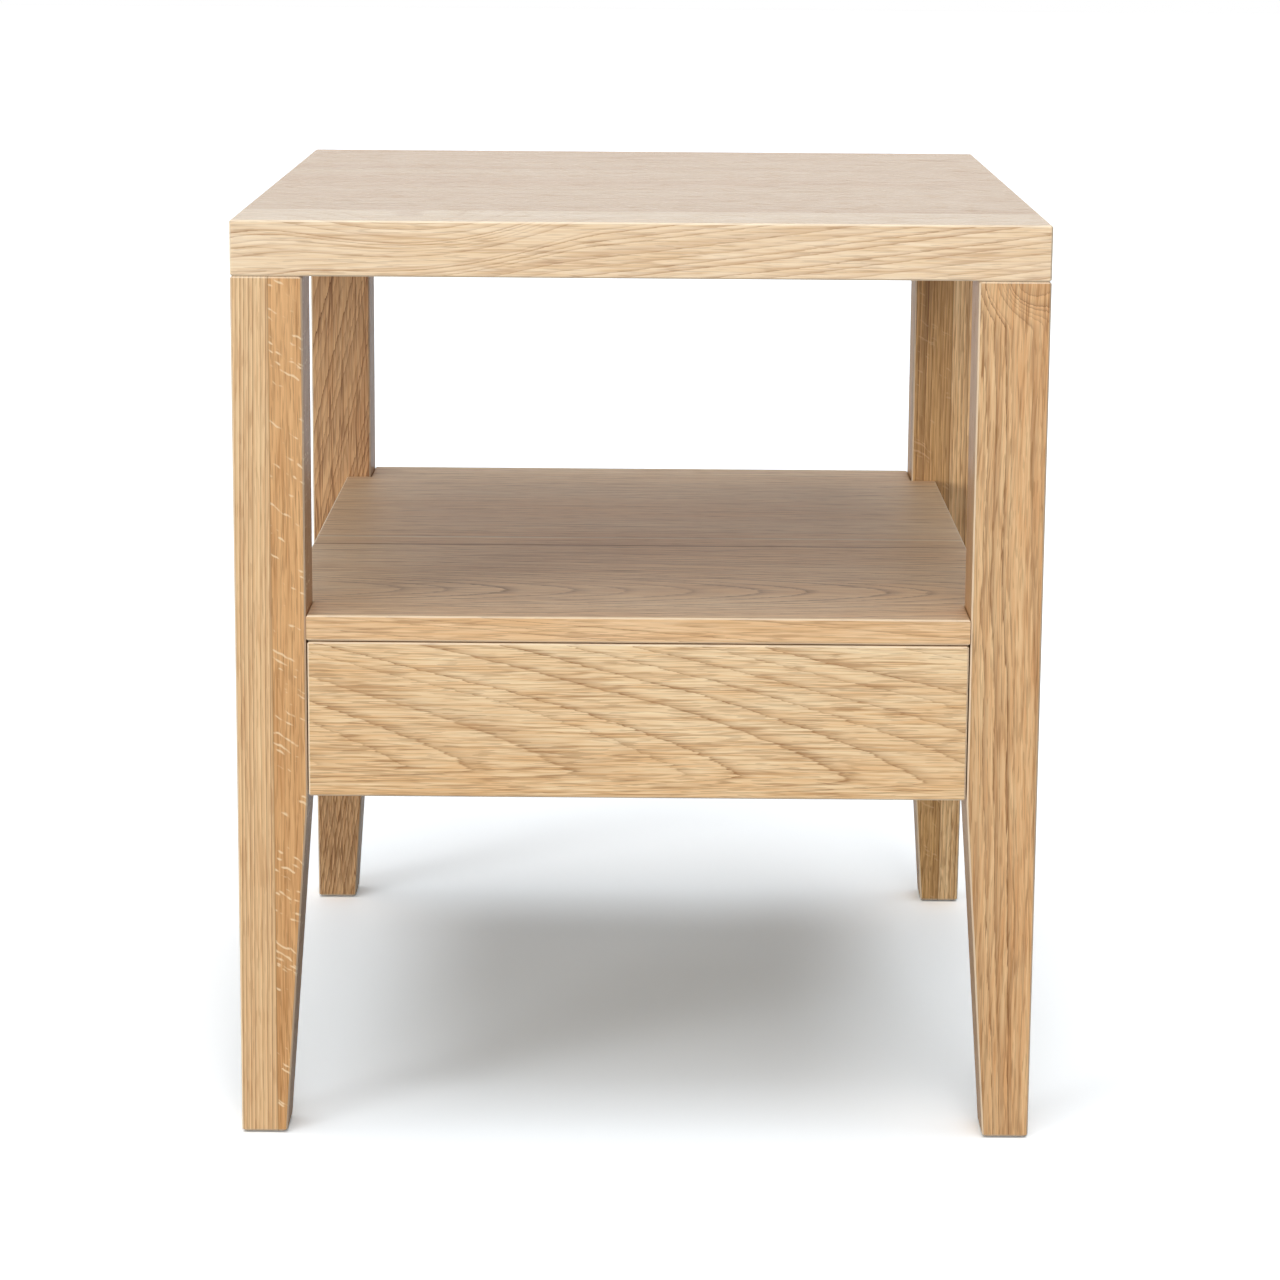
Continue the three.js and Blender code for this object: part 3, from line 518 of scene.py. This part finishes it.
dress("leg_front_right", makeWood("oiledOakLegFrontRight", "Z", [
    # the inner face, painted darker: painted shade
    {**riftStave, "light": "#ddb682", "mid": "#c79461"},
    {**riftStave, "start": 206.4},
]))
# The rear left leg and the wider stave of the rear right leg are painted darker than the front legs' oak:
# painted shade under the top
dress("leg_rear_left", makeWood("oiledOakLegRearLeft", "Z", [
    {"heart": (300, -350, 395), "lean": (0.25, 0.0), "ringWidth": 2.6, "wander": 14.0, "seed": 11.0,
     "early": 0.35, "light": "#dab486", "mid": "#be9063", "dark": "#63391a", "ringShare": 1.0,
     "lineShare": 0.7},
]))
dress("leg_rear_right", makeWood("oiledOakLegRearRight", "Z", [
    {"heart": (0, 800, 260), "ringWidth": 3.1, "seed": 12.0, "early": 0.4, "wander": 6.0, "light": "#dcb179",
     "mid": "#c0935b", "dark": "#63391a", "fleck": "#d9b488", "ringShare": 1.0, "fleckShare": 0.4},
    {"start": 234.5, "heart": (0, 700, 280), "ringWidth": 3.6, "seed": 13.0, "wander": 5.0, "early": 0.5,
     "light": "#fbdcab", "mid": "#e6bb85", "dark": "#85562b", "ringShare": 1.0, "glue": 0.6},
]))
railOak = {"light": "#e3bb86", "mid": "#d5a870", "dark": "#b0804c"}
dress("back_rail", makeWood("oiledOakBackRail", "X", [
    {**railOak, "heart": (0, 180, 290), "lean": (0.05, 0.03), "ringWidth": 3.6, "seed": 14.0},
]))
dress("side_rail_left", makeWood("oiledOakSideRailLeft", "Y", [
    {**railOak, "heart": (0, -120, 260), "lean": (0.04, -0.03), "ringWidth": 3.4, "seed": 15.0},
]))
dress("side_rail_right", makeWood("oiledOakSideRailRight", "Y", [
    {**railOak, "heart": (0, 130, 300), "lean": (-0.04, 0.03), "ringWidth": 3.3, "seed": 16.0},
]))

# Birch and beech: fine and even, so the rings and pores hardly show
plainBirch = {
    **plainOak, "light": "#f0dfba", "mid": "#e2cb9f", "dark": "#cfae7c", "pore": "#c3a070", "ringWidth": 3.0,
    "jag": 0.5, "ringShare": 0.45, "lineShare": 0.15, "poreShare": 0.12, "roughness": 0.42,
}
boxBoards = {  # grain direction, heart and seed
    "drawer_box_front": ("X", (0, 140, 300), 21.0),
    "drawer_box_back": ("X", (0, 140, 300), 22.0),
    "drawer_side_left": ("Y", (0, 120, 310), 23.0),
    "drawer_side_right": ("Y", (0, 120, 310), 24.0),
}
for node, (along, heart, seed) in boxBoards.items():
    board = {"heart": heart, "lean": (0.03, -0.02), "seed": seed}
    dress(node, makeWood("birch_" + node, along, [board], base=plainBirch))

# Birch plywood, whose edges show pale and brown plies by turns
plywood = {
    "plies": 5,
    "seed": 25.0,
    "pale": {"heart": (0, 300, 500), "ringWidth": 9.0, "wander": 30.0, "glue": 0.3},
    "brown": {"light": "#d8b988", "mid": "#c9a573"},
}
low, high = (corner[2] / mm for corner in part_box("drawer_bottom"))
plies = []
for i in range(plywood["plies"]):
    ply = {**plywood["pale"], "seed": plywood["seed"] + i, "start": low + (high - low) * i / plywood["plies"]}
    plies.append({**ply, **plywood["brown"]} if i % 2 else ply)
dress("drawer_bottom", makeWood("birchPlywood", "X", plies, across="Z", base=plainBirch))

# Beech dowels, which show their short brown rays
beech = makeWood("beechDowel", "Z", [{
    "heart": (0, 300, 200), "ringWidth": 1.6, "jag": 0.6, "seed": 31.0, "light": "#e6c594", "mid": "#dab483",
    "dark": "#c39a69", "fleck": "#b98a58", "fleckShare": 0.3, "ringShare": 0.3, "poreShare": 0.1,
    "roughness": 0.55,
}])
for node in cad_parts:
    if "dowel" in node:
        dress(node, beech)

print("stage: metal and nylon")
metals = {
    # Electro-galvanised strip, rolled along Y: bluish grey with faint mill lines and dull patches
    "zincSteel": {"light": "#d6d9dc", "dark": "#b3b8bd", "stretch": (700, 9, 700), "rough": (0.24, 0.42)},
    # Yellow passivated screw steel, a little uneven from the plating drum
    "screwSteel": {"light": "#d8cda4", "dark": "#b5a470", "stretch": (900, 900, 900), "rough": (0.28, 0.45)},
    # Hard chrome steel balls
    "ballSteel": {"light": "#e4e5e6", "dark": "#c8cacc", "stretch": (260, 260, 260), "rough": (0.08, 0.16)},
}
metalFigure = {"patches": 55.0, "tone": (0.16, 0.36), "bump": 0.2, "bumpDepth": 0.03}


def makeMetal(name, look):
    material, tree = newMaterial(name)
    place = addNode(tree, "TexCoord").outputs["Object"]
    lines = addNode(tree, "VectorMath", {0: place, 1: look["stretch"]}, operation="MULTIPLY")
    lines = addNode(tree, "TexNoise", {"Vector": lines, "Scale": 1.0, "Detail": 3.0})
    patches = addNode(tree, "TexNoise", {
        "Vector": place, "Scale": metalFigure["patches"], "Detail": 4.0,
    })
    tone = addNode(tree, "Math", {0: lines, 1: patches}, operation="MULTIPLY")
    tone = addNode(tree, "MapRange", span(tone, "From", metalFigure["tone"]))
    colour = addNode(tree, "Mix", {
        "Factor": tone, "A": linearColour(look["light"]), "B": linearColour(look["dark"]),
    }, data_type="RGBA")
    rough = addNode(tree, "MapRange", span(tone, "To", look["rough"]))
    addSurface(tree, metalFigure, lines, {"Base Color": colour, "Metallic": 1.0, "Roughness": rough})
    return material


zincSteel, screwSteel, ballSteel = (makeMetal(name, look) for name, look in metals.items())
nylon = {
    "plain": "#5f4c3b",
    "scuffed": "#9c8a77",
    "scuffHeight": 0.6,  # how far above the floor
    "scuffScale": 420.0,  # repeats for each metre
    "scuffRoughness": 0.7,
    "grainScale": 2600.0,
    "rough": (0.45, 0.7),
    "bump": 0.3,
    "bumpDepth": 0.05,
}


def makeNylon():
    # Brown moulded nylon with a fine spark-eroded grain, scuffed paler where it meets the floor
    material, tree = newMaterial("brownNylon")
    place = addNode(tree, "TexCoord").outputs["Object"]
    grain = addNode(tree, "TexNoise", {
        "Vector": place, "Scale": nylon["grainScale"], "Detail": 2.0,
    })
    scuff = addNode(tree, "TexNoise", {
        "Vector": place, "Scale": nylon["scuffScale"], "Detail": 5.0, "Roughness": nylon["scuffRoughness"],
    })
    height = addNode(tree, "SeparateXYZ", {0: place}).outputs[2]
    worn = addNode(tree, "MapRange", {
        "Value": height, "From Min": nylon["scuffHeight"] * mm, "From Max": 0.0,
    })
    worn = addNode(tree, "Math", {0: worn, 1: scuff}, operation="MULTIPLY")
    colour = addNode(tree, "Mix", {
        "Factor": worn, "A": linearColour(nylon["plain"]), "B": linearColour(nylon["scuffed"]),
    }, data_type="RGBA")
    rough = addNode(tree, "MapRange", span(scuff, "To", nylon["rough"]))
    addSurface(tree, nylon, grain, {"Base Color": colour, "Roughness": rough})
    return material


nylonMaterial = makeNylon()
crispAngle = 35.0  # degrees from which an edge stays sharp


def crisp(shape):
    for face in shape.faces:
        face.smooth = True
    for edge in shape.edges:
        edge.smooth = len(edge.link_faces) == 2 and edge.calc_face_angle() < math.radians(crispAngle)


def solidPiece(name, points, faces, material):
    # A mesh of points in metres
    mesh = bpy.data.meshes.new(name)
    mesh.from_pydata(points, [], faces)
    shape = bmesh.new()
    shape.from_mesh(mesh)
    bmesh.ops.recalc_face_normals(shape, faces=shape.faces)
    crisp(shape)
    shape.to_mesh(mesh)
    shape.free()
    mesh.materials.append(material)
    piece = bpy.data.objects.new(name, mesh)
    scene.collection.objects.link(piece)
    return piece


def turned(name, profile, material, sides):
    # A profile of (radius, height) in millimetres, turned about +Z from its bottom to its top
    points, faces, rings = [], [], []
    for radius, height in profile:
        count = sides if radius > 0 else 1
        rings.append([len(points) + i for i in range(count)])
        for i in range(count):
            angle = 2 * math.pi * i / sides
            points.append((radius * mm * math.cos(angle), radius * mm * math.sin(angle), height * mm))
    for lower, upper in zip(rings, rings[1:]):
        for i in range(sides):
            spots = ((lower, i), (lower, i + 1), (upper, i + 1), (upper, i))
            faces.append(tuple(dict.fromkeys(ring[k % len(ring)] for ring, k in spots)))
    return solidPiece(name, points, faces, material)


def bake(piece):
    # Turns a piece's modifiers into its mesh
    mesh = bpy.data.meshes.new_from_object(piece.evaluated_get(bpy.context.evaluated_depsgraph_get()))
    piece.modifiers.clear()
    piece.data = mesh
    return mesh


def cutAway(piece, cutters):
    # Cuts closed shapes out of a piece and throws them away
    for cutter in cutters:
        cut = piece.modifiers.new("cut", "BOOLEAN")
        cut.operation = "DIFFERENCE"
        cut.object = cutter
        cut.solver = "EXACT"
    mesh = bake(piece)
    for cutter in cutters:
        bpy.data.objects.remove(cutter)
    shape = bmesh.new()
    shape.from_mesh(mesh)
    bmesh.ops.dissolve_degenerate(shape, edges=shape.edges, dist=0.001 * mm)
    crisp(shape)
    shape.to_mesh(mesh)
    shape.free()


def buildScatter():
    # Puts one copy of a shape on each point, each spun a little differently about its own axis
    tree = bpy.data.node_groups.new("scatter", "GeometryNodeTree")
    kinds = {"Geometry": "Geometry", "Shape": "Object", "Turn": "Rotation", "Spin": "Float", "Seed": "Int",
             "Material": "Material"}
    for name, kind in kinds.items():
        tree.interface.new_socket(name, in_out="INPUT", socket_type="NodeSocket" + kind)
    tree.interface.new_socket("Geometry", in_out="OUTPUT", socket_type="NodeSocketGeometry")
    given = addNode(tree, "NodeGroupInput").outputs
    spin = addNode(tree, "FunctionNodeRandomValue", {"Max": given["Spin"], "Seed": given["Seed"]},
                   data_type="FLOAT")
    spin = addNode(tree, "CombineXYZ", {2: spin})
    spin = addNode(tree, "FunctionNodeEulerToRotation", {0: spin})
    turn = addNode(tree, "FunctionNodeRotateRotation", {0: given["Turn"], 1: spin}, rotation_space="LOCAL")
    points = addNode(tree, "GeometryNodeMeshToPoints", {"Mesh": given["Geometry"]})
    shape = addNode(tree, "GeometryNodeObjectInfo", {"Object": given["Shape"]}).outputs["Geometry"]
    copies = addNode(tree, "GeometryNodeInstanceOnPoints", {
        "Points": points, "Instance": shape, "Rotation": turn,
    })
    copies = addNode(tree, "GeometryNodeRealizeInstances", {"Geometry": copies})
    copies = addNode(tree, "GeometryNodeSetMaterial", {"Geometry": copies, "Material": given["Material"]})
    addNode(tree, "NodeGroupOutput", {"Geometry": copies})
    return tree


scatterGroup = buildScatter()


def scatter(name, shape, places, material, seed, turn=(0, 0, 0), spin=math.pi):
    mesh = bpy.data.meshes.new(name)
    mesh.from_pydata([tuple(place) for place in places], [], [])
    piece = bpy.data.objects.new(name, mesh)
    scene.collection.objects.link(piece)
    nodes = piece.modifiers.new("scatter", "NODES")
    nodes.node_group = scatterGroup
    values = {"Shape": shape, "Turn": turn, "Spin": spin, "Seed": seed, "Material": material}
    for item in scatterGroup.interface.items_tree:
        if item.in_out == "INPUT" and item.name in values:
            nodes[item.identifier] = values[item.name]
    bpy.context.view_layer.update()
    bake(piece)
    return piece


def keep(piece, body, slot, *nodes):
    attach(piece, body)
    if nodes:
        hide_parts(*nodes)


def middleOf(node):
    low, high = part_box(node)
    return (Vector(low) + Vector(high)) / 2


# Nail-on glides: a turned nylon button with a rounded rim, and the nail's head sunk in its middle
glide = {
    "radius": 10, "tall": 3, "rim": 0.9, "rimSteps": 6, "bevel": 0.3, "sides": 48,
    "dish": 1.4, "dishRadius": 4.2, "dishFlare": 0.4,
    "head": 3.4, "crown": 0.5, "crownSide": (0.6, 0.58), "headRim": 0.9, "seat": 0.02,  # above the floor
    "nail": 1.2, "neck": 0.4, "nailLength": 12, "nailTip": 2.2, "nailSides": 24,
}
radius, tall, rim, bevel = glide["radius"], glide["tall"], glide["rim"], glide["bevel"]
dish, dishRadius = glide["dish"], glide["dishRadius"]
rimArc = []
for i in range(glide["rimSteps"] + 1):
    angle = math.pi / 2 * i / glide["rimSteps"]
    rimArc.append((radius - rim * (1 - math.sin(angle)), rim * (1 - math.cos(angle))))
button = turned("button", [
    (0, dish), (dishRadius - bevel, dish), (dishRadius, dish - bevel), (dishRadius, bevel),
    (dishRadius + glide["dishFlare"], 0.0), *rimArc,
    (radius, tall - bevel), (radius - bevel, tall), (0, tall),
], nylonMaterial, glide["sides"])
nail = turned("nail", [
    (0, glide["crown"]), (glide["head"] * glide["crownSide"][0], glide["crownSide"][1]),
    (glide["head"], glide["headRim"]), (glide["head"], dish + glide["seat"]),
    (glide["nail"], dish + glide["neck"]),
    (glide["nail"], tall + glide["nailLength"] - glide["nailTip"]), (0, tall + glide["nailLength"]),
], screwSteel, glide["nailSides"])
glideNodes = [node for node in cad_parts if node.startswith("glide_")]
feet = [middleOf(node) for node in glideNodes]
for foot in feet:
    foot.z = 0.0
keep(scatter("glideButtons", button, feet, nylonMaterial, seed=3), "frame", "nylon", *glideNodes)
keep(scatter("glideNails", nail, feet, screwSteel, seed=4), "frame", "screw_steel")
for spare in (button, nail):
    bpy.data.objects.remove(spare)

# Screws, tip down and head up, with the top of the head at zero height
screwForm = {
    "flank": 0.55,  # where a ridge of the thread starts to rise, as a share of the pitch
    "crest": 0.8,  # and where it ends
    "recessTop": (0.5, 0.45),  # height and half width of a bar of the driver's cross where it opens
    "recessFoot": (0.35, 0.25),  # share of its length and half width at its bottom
}
flat = {
    "radius": 1.7, "threadDepth": 0.4, "pitch": 1.2, "tip": 2.0, "threadEnd": 3.2, "neck": (0.2, 1.2),
    "cone": 1.6, "head": 3.2, "rim": (0.25, 0.05), "bevel": 0.1, "recess": (1.7, 1.3), "sides": 24,
}
pan = {
    "radius": 2.0, "threadDepth": 0.45, "pitch": 1.3, "tip": 3.0, "threadEnd": 2.0, "shank": 1.6,
    "head": 4.0, "tall": 2.4, "dome": 0.62, "domeStep": 10, "domeSteps": 9, "bevel": 0.1,
    "recess": (2.1, 1.5), "sides": 32,
}


def crossRecess(width, deep):
    # Two tapered bars, narrower towards their bottom
    top, upperHalf = screwForm["recessTop"]
    share, lowerHalf = screwForm["recessFoot"]
    cutters = []
    for turn in (0, quarter):
        points = []
        for height, reach, half in ((top, width, upperHalf), (-deep, width * share, lowerHalf)):
            for x, y in ((-reach, -half), (reach, -half), (reach, half), (-reach, half)):
                spot = Matrix.Rotation(turn, 3, "Z") @ Vector((x, y, height))
                points.append(tuple(spot * mm))
        faces = [(0, 1, 2, 3), (7, 6, 5, 4), (0, 4, 5, 1), (1, 5, 6, 2), (2, 6, 7, 3), (3, 7, 4, 0)]
        cutters.append(solidPiece("recess", points, faces, screwSteel))
    return cutters


def screw(name, length, form, end, head):
    # A tip, a thread up to its end, and a head given as the rest of the profile
    low, core, pitch = -length + form["tip"], form["radius"] - form["threadDepth"], form["pitch"]
    profile = [(0, -length)]
    for i in range(int((end - low) / pitch)):
        foot = low + i * pitch
        profile += [(core, foot), (core, foot + pitch * screwForm["flank"]),
                    (form["radius"], foot + pitch * screwForm["crest"])]
    body = turned(name, [*profile, (core, end), *head, (0, 0.0)], screwSteel, form["sides"])
    cutAway(body, crossRecess(*form["recess"]))
    return body


def flatScrew(name, length):
    inset, below = flat["neck"]
    return screw(name, length, flat, -flat["threadEnd"], [
        (flat["radius"] - inset, -flat["cone"] - below), (flat["radius"], -flat["cone"]),
        (flat["head"], -flat["rim"][0]), (flat["head"], -flat["rim"][1]), (flat["head"] - flat["bevel"], 0.0),
    ])


def panScrew(name, length):
    rise = pan["tall"] * pan["dome"]
    angles = [math.radians(pan["domeStep"] * i) for i in range(pan["domeSteps"])]
    return screw(name, length, pan, -pan["tall"] - pan["threadEnd"], [
        (pan["radius"], -pan["tall"] - pan["shank"]), (pan["radius"], -pan["tall"]),
        (pan["head"] - pan["bevel"], -pan["tall"]), (pan["head"], -pan["tall"] + pan["bevel"]),
        *((pan["head"] * math.cos(a), -rise + rise * math.sin(a)) for a in angles),
    ])


screwSets = {  # maker, start of the nodes' names, axis, which end of it has the head, body and seed
    "frontScrews": (panScrew, "front_screw_", 1, 1, "drawer", 5),
    "cabinetScrewsLeft": (flatScrew, "cabinet_screw_left", 0, 1, "frame", 6),
    "cabinetScrewsRight": (flatScrew, "cabinet_screw_right", 0, 0, "frame", 7),
    "drawerScrewsLeft": (flatScrew, "drawer_screw_left", 0, 0, "drawer", 8),
    "drawerScrewsRight": (flatScrew, "drawer_screw_right", 0, 1, "drawer", 9),
}
for name, (makeShape, prefix, axis, headSide, body, seed) in screwSets.items():
    nodes = [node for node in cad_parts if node.startswith(prefix)]
    low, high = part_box(nodes[0])
    shape = makeShape(name + "Shape", (high[axis] - low[axis]) / mm)
    places = []
    for node in nodes:
        place = middleOf(node)
        place[axis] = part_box(node)[headSide][axis]
        places.append(place)
    tilt = quarter if headSide else -quarter
    turn = (-tilt, 0, 0) if axis else (0, tilt, 0)
    keep(scatter(name, shape, places, screwSteel, seed, turn), body, "screw_steel", *nodes)
    bpy.data.objects.remove(shape)

print("stage: slides")
# Rolled steel sections, drawn with u out from the cabinet wall and v up from the slide's middle
slide = {
    "width": 12.7, "tall": 45.0, "sheet": 1.0, "bend": 1.2, "runGap": 0.3,
    "ball": 1.5, "play": 0.3, "ballsInRow": 9, "ballSteps": 10, "ballSides": 20,
    "cageSheet": 0.5, "cageCorner": 1.1, "cageEnd": 14.0,
    # Arcs, in degrees
    "arcSteps": 8, "stagger": 50, "shoulder": 150, "cabinetLip": 18, "middleRamp": 140, "middleLip": -22,
    "drawerRamp": -25, "drawerLip": -130,
    # Places of the holes, as shares of a member's length from the front
    "cabinetScrews": (0.08, 0.5, 0.9), "cabinetSlots": (0.2, 0.32, 0.64, 0.78),
    "drawerScrews": (0.1, 0.88), "drawerSlots": (0.25, 0.4, 0.6, 0.75),
    "middleSlots": (0.24, 0.36, 0.64, 0.76), "middleStart": 0.02, "middleShare": 0.96,
    "cageWindows": (0.14, 0.28, 0.42, 0.58, 0.72, 0.86),
}
hole = {
    "radius": 2.0, "sunkRadius": 3.5, "sunkFrom": 1.0, "sunkTo": 0.6, "accessRadius": 5.0, "accessTo": 9.0,
    "reach": 6.0, "drawerReach": (7.0, 19.0), "sides": 24,  # the cutters start and end clear of the sheet
    "slot": (9.0, 2.2), "window": (10.0, 6.0), "slotReach": 15.0,  # half length and half height
}
sheet, gap, cageSheet = slide["sheet"], slide["runGap"], slide["cageSheet"]
race = slide["ball"] + slide["play"] + sheet / 2
cabinetWeb = sheet / 2
outerCageWeb = sheet + gap + cageSheet / 2
middleWeb = outerCageWeb + cageSheet / 2 + gap + sheet / 2
innerCageWeb = middleWeb + sheet / 2 + gap + cageSheet / 2
drawerWeb = slide["width"] - sheet / 2
stagger, drawerLip = math.radians(slide["stagger"]), math.radians(slide["drawerLip"])
outerBallHeight = slide["tall"] / 2 - race - sheet / 2
innerBall = Vector((innerCageWeb + cageSheet / 2 + gap - (race + sheet / 2) * math.cos(drawerLip),
                    outerBallHeight - 2 * race * math.sin(stagger)))
outerBall = Vector((innerBall.x + 2 * race * math.cos(stagger), outerBallHeight))


def arc(centre, radius, start, end):
    # Points along an arc between two angles in degrees
    steps = slide["arcSteps"]
    angles = [math.radians(start + (end - start) * i / steps) for i in range(steps + 1)]
    return [Vector((centre[0] + radius * math.cos(a), centre[1] + radius * math.sin(a))) for a in angles]


def bothHalves(upper):
    return [Vector((point.x, -point.y)) for point in reversed(upper)] + upper


def flangedLine(web, outwards, ball, start, end):
    # A web, a small bend, and a race round the balls
    raceLine = arc(ball, race, start, end)
    bend = (web + outwards * slide["bend"], raceLine[0].y - slide["bend"])
    return bothHalves([*arc(bend, slide["bend"], 180 if outwards > 0 else 0, 90), *raceLine])


def middleLine():
    overInner = arc(innerBall, race, slide["middleRamp"], slide["stagger"])
    underOuter = arc(outerBall, race, slide["stagger"] - 180, slide["middleLip"])
    rise = (overInner[0].x - middleWeb) * math.tan(math.radians(slide["middleRamp"] - 90))
    return bothHalves([Vector((middleWeb, overInner[0].y - rise)), *overInner, *underOuter[1:]])


def cageLine(web, ball):
    corner = slide["cageCorner"]
    bend = (web + corner, ball.y - corner)
    return bothHalves([*arc(bend, corner, 180, 90), Vector((ball.x + slide["ball"] / 2, ball.y))])


def strip(line, thickness):
    # The two sides of a strip of even thickness along a line, mitred at its corners
    last = len(line) - 1

    def normal(i):
        step = (line[i + 1] - line[i]).normalized()
        return Vector((-step.y, step.x))

    sides = ([], [])
    for i, point in enumerate(line):
        after = normal(min(i, last - 1))
        mitre = (normal(max(i, 1) - 1) + after).normalized()
        offset = mitre * (thickness / 2 / mitre.dot(after))
        sides[0].append(point + offset)
        sides[1].append(point - offset)
    return sides


def tube(name, outline, ends, caps, place):
    # Closes an outline of points between two ends; place turns a point and an end into metres
    count = len(outline)
    points = [place(point, end) for end in ends for point in outline]
    faces = [(i, (i + 1) % count, count + (i + 1) % count, count + i) for i in range(count)]
    for cap in caps:
        faces += [cap, tuple(count + i for i in reversed(cap))]
    return solidPiece(name, points, faces, zincSteel)


def rolled(name, line, thickness, node, side, holes):
    # A rolled section as long as its CAD node, with holes given as a shape and its places along the node
    low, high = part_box(node)
    seat, middle = side * slideSeat, (low[2] + high[2]) / 2 / mm
    front, back = low[1] / mm, high[1] / mm
    left, right = strip(line, thickness)
    outline = right + left[::-1]
    count = len(outline)
    caps = [(i, i + 1, count - 2 - i, count - 1 - i) for i in range(len(line) - 1)]
    piece = tube(name, outline, (front, back), caps,
                 lambda p, y: ((seat - side * p.x) * mm, y * mm, (middle + p.y) * mm))
    cutters = []
    for shape, shares in holes:
        for share in shares:
            place = Vector((seat, front + share * (back - front), middle)) * mm
            cutters.append(holeCutter(shape, place, side))
    cutAway(piece, cutters)
    return piece


def holeCutter(shape, place, side):
    # A round hole from its profile, or a slot with round ends from its half length and half height
    sides = hole["sides"]
    if isinstance(shape, list):
        cutter = turned("hole", shape, zincSteel, sides)
        cutter.rotation_euler = Euler((0, -side * quarter, 0))
    else:
        length, half = shape
        outline = []
        for i in range(sides):
            angle = 2 * math.pi * (i + 0.5) / sides
            straight = (length - half) * (1 if math.cos(angle) > 0 else -1)
            outline.append((half * math.cos(angle) + straight, half * math.sin(angle)))
        cutter = tube("slot", outline, (-hole["slotReach"], hole["slotReach"]), [tuple(range(sides))],
                      lambda p, x: (x * mm, p[0] * mm, p[1] * mm))
    cutter.location = place
    return cutter


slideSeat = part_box("slide_cabinet_member_right")[1][0] / mm
reach, sunk, narrow = hole["reach"], hole["sunkRadius"], hole["radius"]
fromWall = [(0, -reach), (narrow, -reach), (narrow, -hole["sunkTo"]), (sunk, hole["sunkFrom"]), (sunk, reach),
            (0, reach)]
first, last = hole["drawerReach"]
fromDrawer = [(0, first), (sunk, first), (sunk, slide["width"] - hole["sunkFrom"]),
              (narrow, slide["width"] + hole["sunkTo"]), (narrow, last), (0, last)]
access = [(0, -reach), (hole["accessRadius"], -reach), (hole["accessRadius"], hole["accessTo"]),
          (0, hole["accessTo"])]
size, steps = slide["ball"], slide["ballSteps"]
ballAngles = [math.radians(-90 + 180 / steps * i) for i in range(1, steps)]
ballShape = turned("ball", [
    (0, -size), *((size * math.cos(a), size * math.sin(a)) for a in ballAngles), (0, size),
], ballSteel, slide["ballSides"])

cabinetLine = flangedLine(cabinetWeb, 1, outerBall, slide["shoulder"], slide["cabinetLip"])
drawerLine = flangedLine(drawerWeb, -1, innerBall, slide["drawerRamp"], slide["drawerLip"])
holesAt = {
    "cabinet": [(fromWall, slide["cabinetScrews"]), (hole["slot"], slide["cabinetSlots"])],
    "middle": [(hole["slot"], slide["middleSlots"]),
               (access, [(s - slide["middleStart"]) / slide["middleShare"] for s in slide["cabinetScrews"]])],
    "drawer": [(fromDrawer, slide["drawerScrews"]), (hole["slot"], slide["drawerSlots"])],
    "cage": [(hole["window"], slide["cageWindows"])],
}
for label, side in (("left", -1), ("right", 1)):
    end = label.capitalize()
    members = (("cabinet", cabinetLine, "frame"), ("middle", middleLine(), "middle_member_" + label),
               ("drawer", drawerLine, "drawer"))
    for kind, line, body in members:
        node = "slide_" + kind + "_member_" + label
        member = rolled(kind + "Member" + end, line, slide["sheet"], node, side, holesAt[kind])
        keep(member, body, "zinc_steel", node)
    for kind, web, ball in (("outer", outerCageWeb, outerBall), ("inner", innerCageWeb, innerBall)):
        node = "slide_" + kind + "_cage_" + label
        body = kind + "_cage_" + label
        line = cageLine(web, ball)
        cage = rolled(kind + "Cage" + end, line, slide["cageSheet"], node, side, holesAt["cage"])
        keep(cage, body, "zinc_steel", node)
        low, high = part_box(node)
        first, last = low[1] + slide["cageEnd"] * mm, high[1] - slide["cageEnd"] * mm
        centre = (low[2] + high[2]) / 2
        places = [(side * (slideSeat - ball.x) * mm, first + (last - first) * i / (slide["ballsInRow"] - 1),
                   centre + row * ball.y * mm) for i in range(slide["ballsInRow"]) for row in (-1, 1)]
        balls = scatter(kind + "Balls" + end, ballShape, places, ballSteel, seed=11)
        keep(balls, body, "zinc_steel")
bpy.data.objects.remove(ballShape)
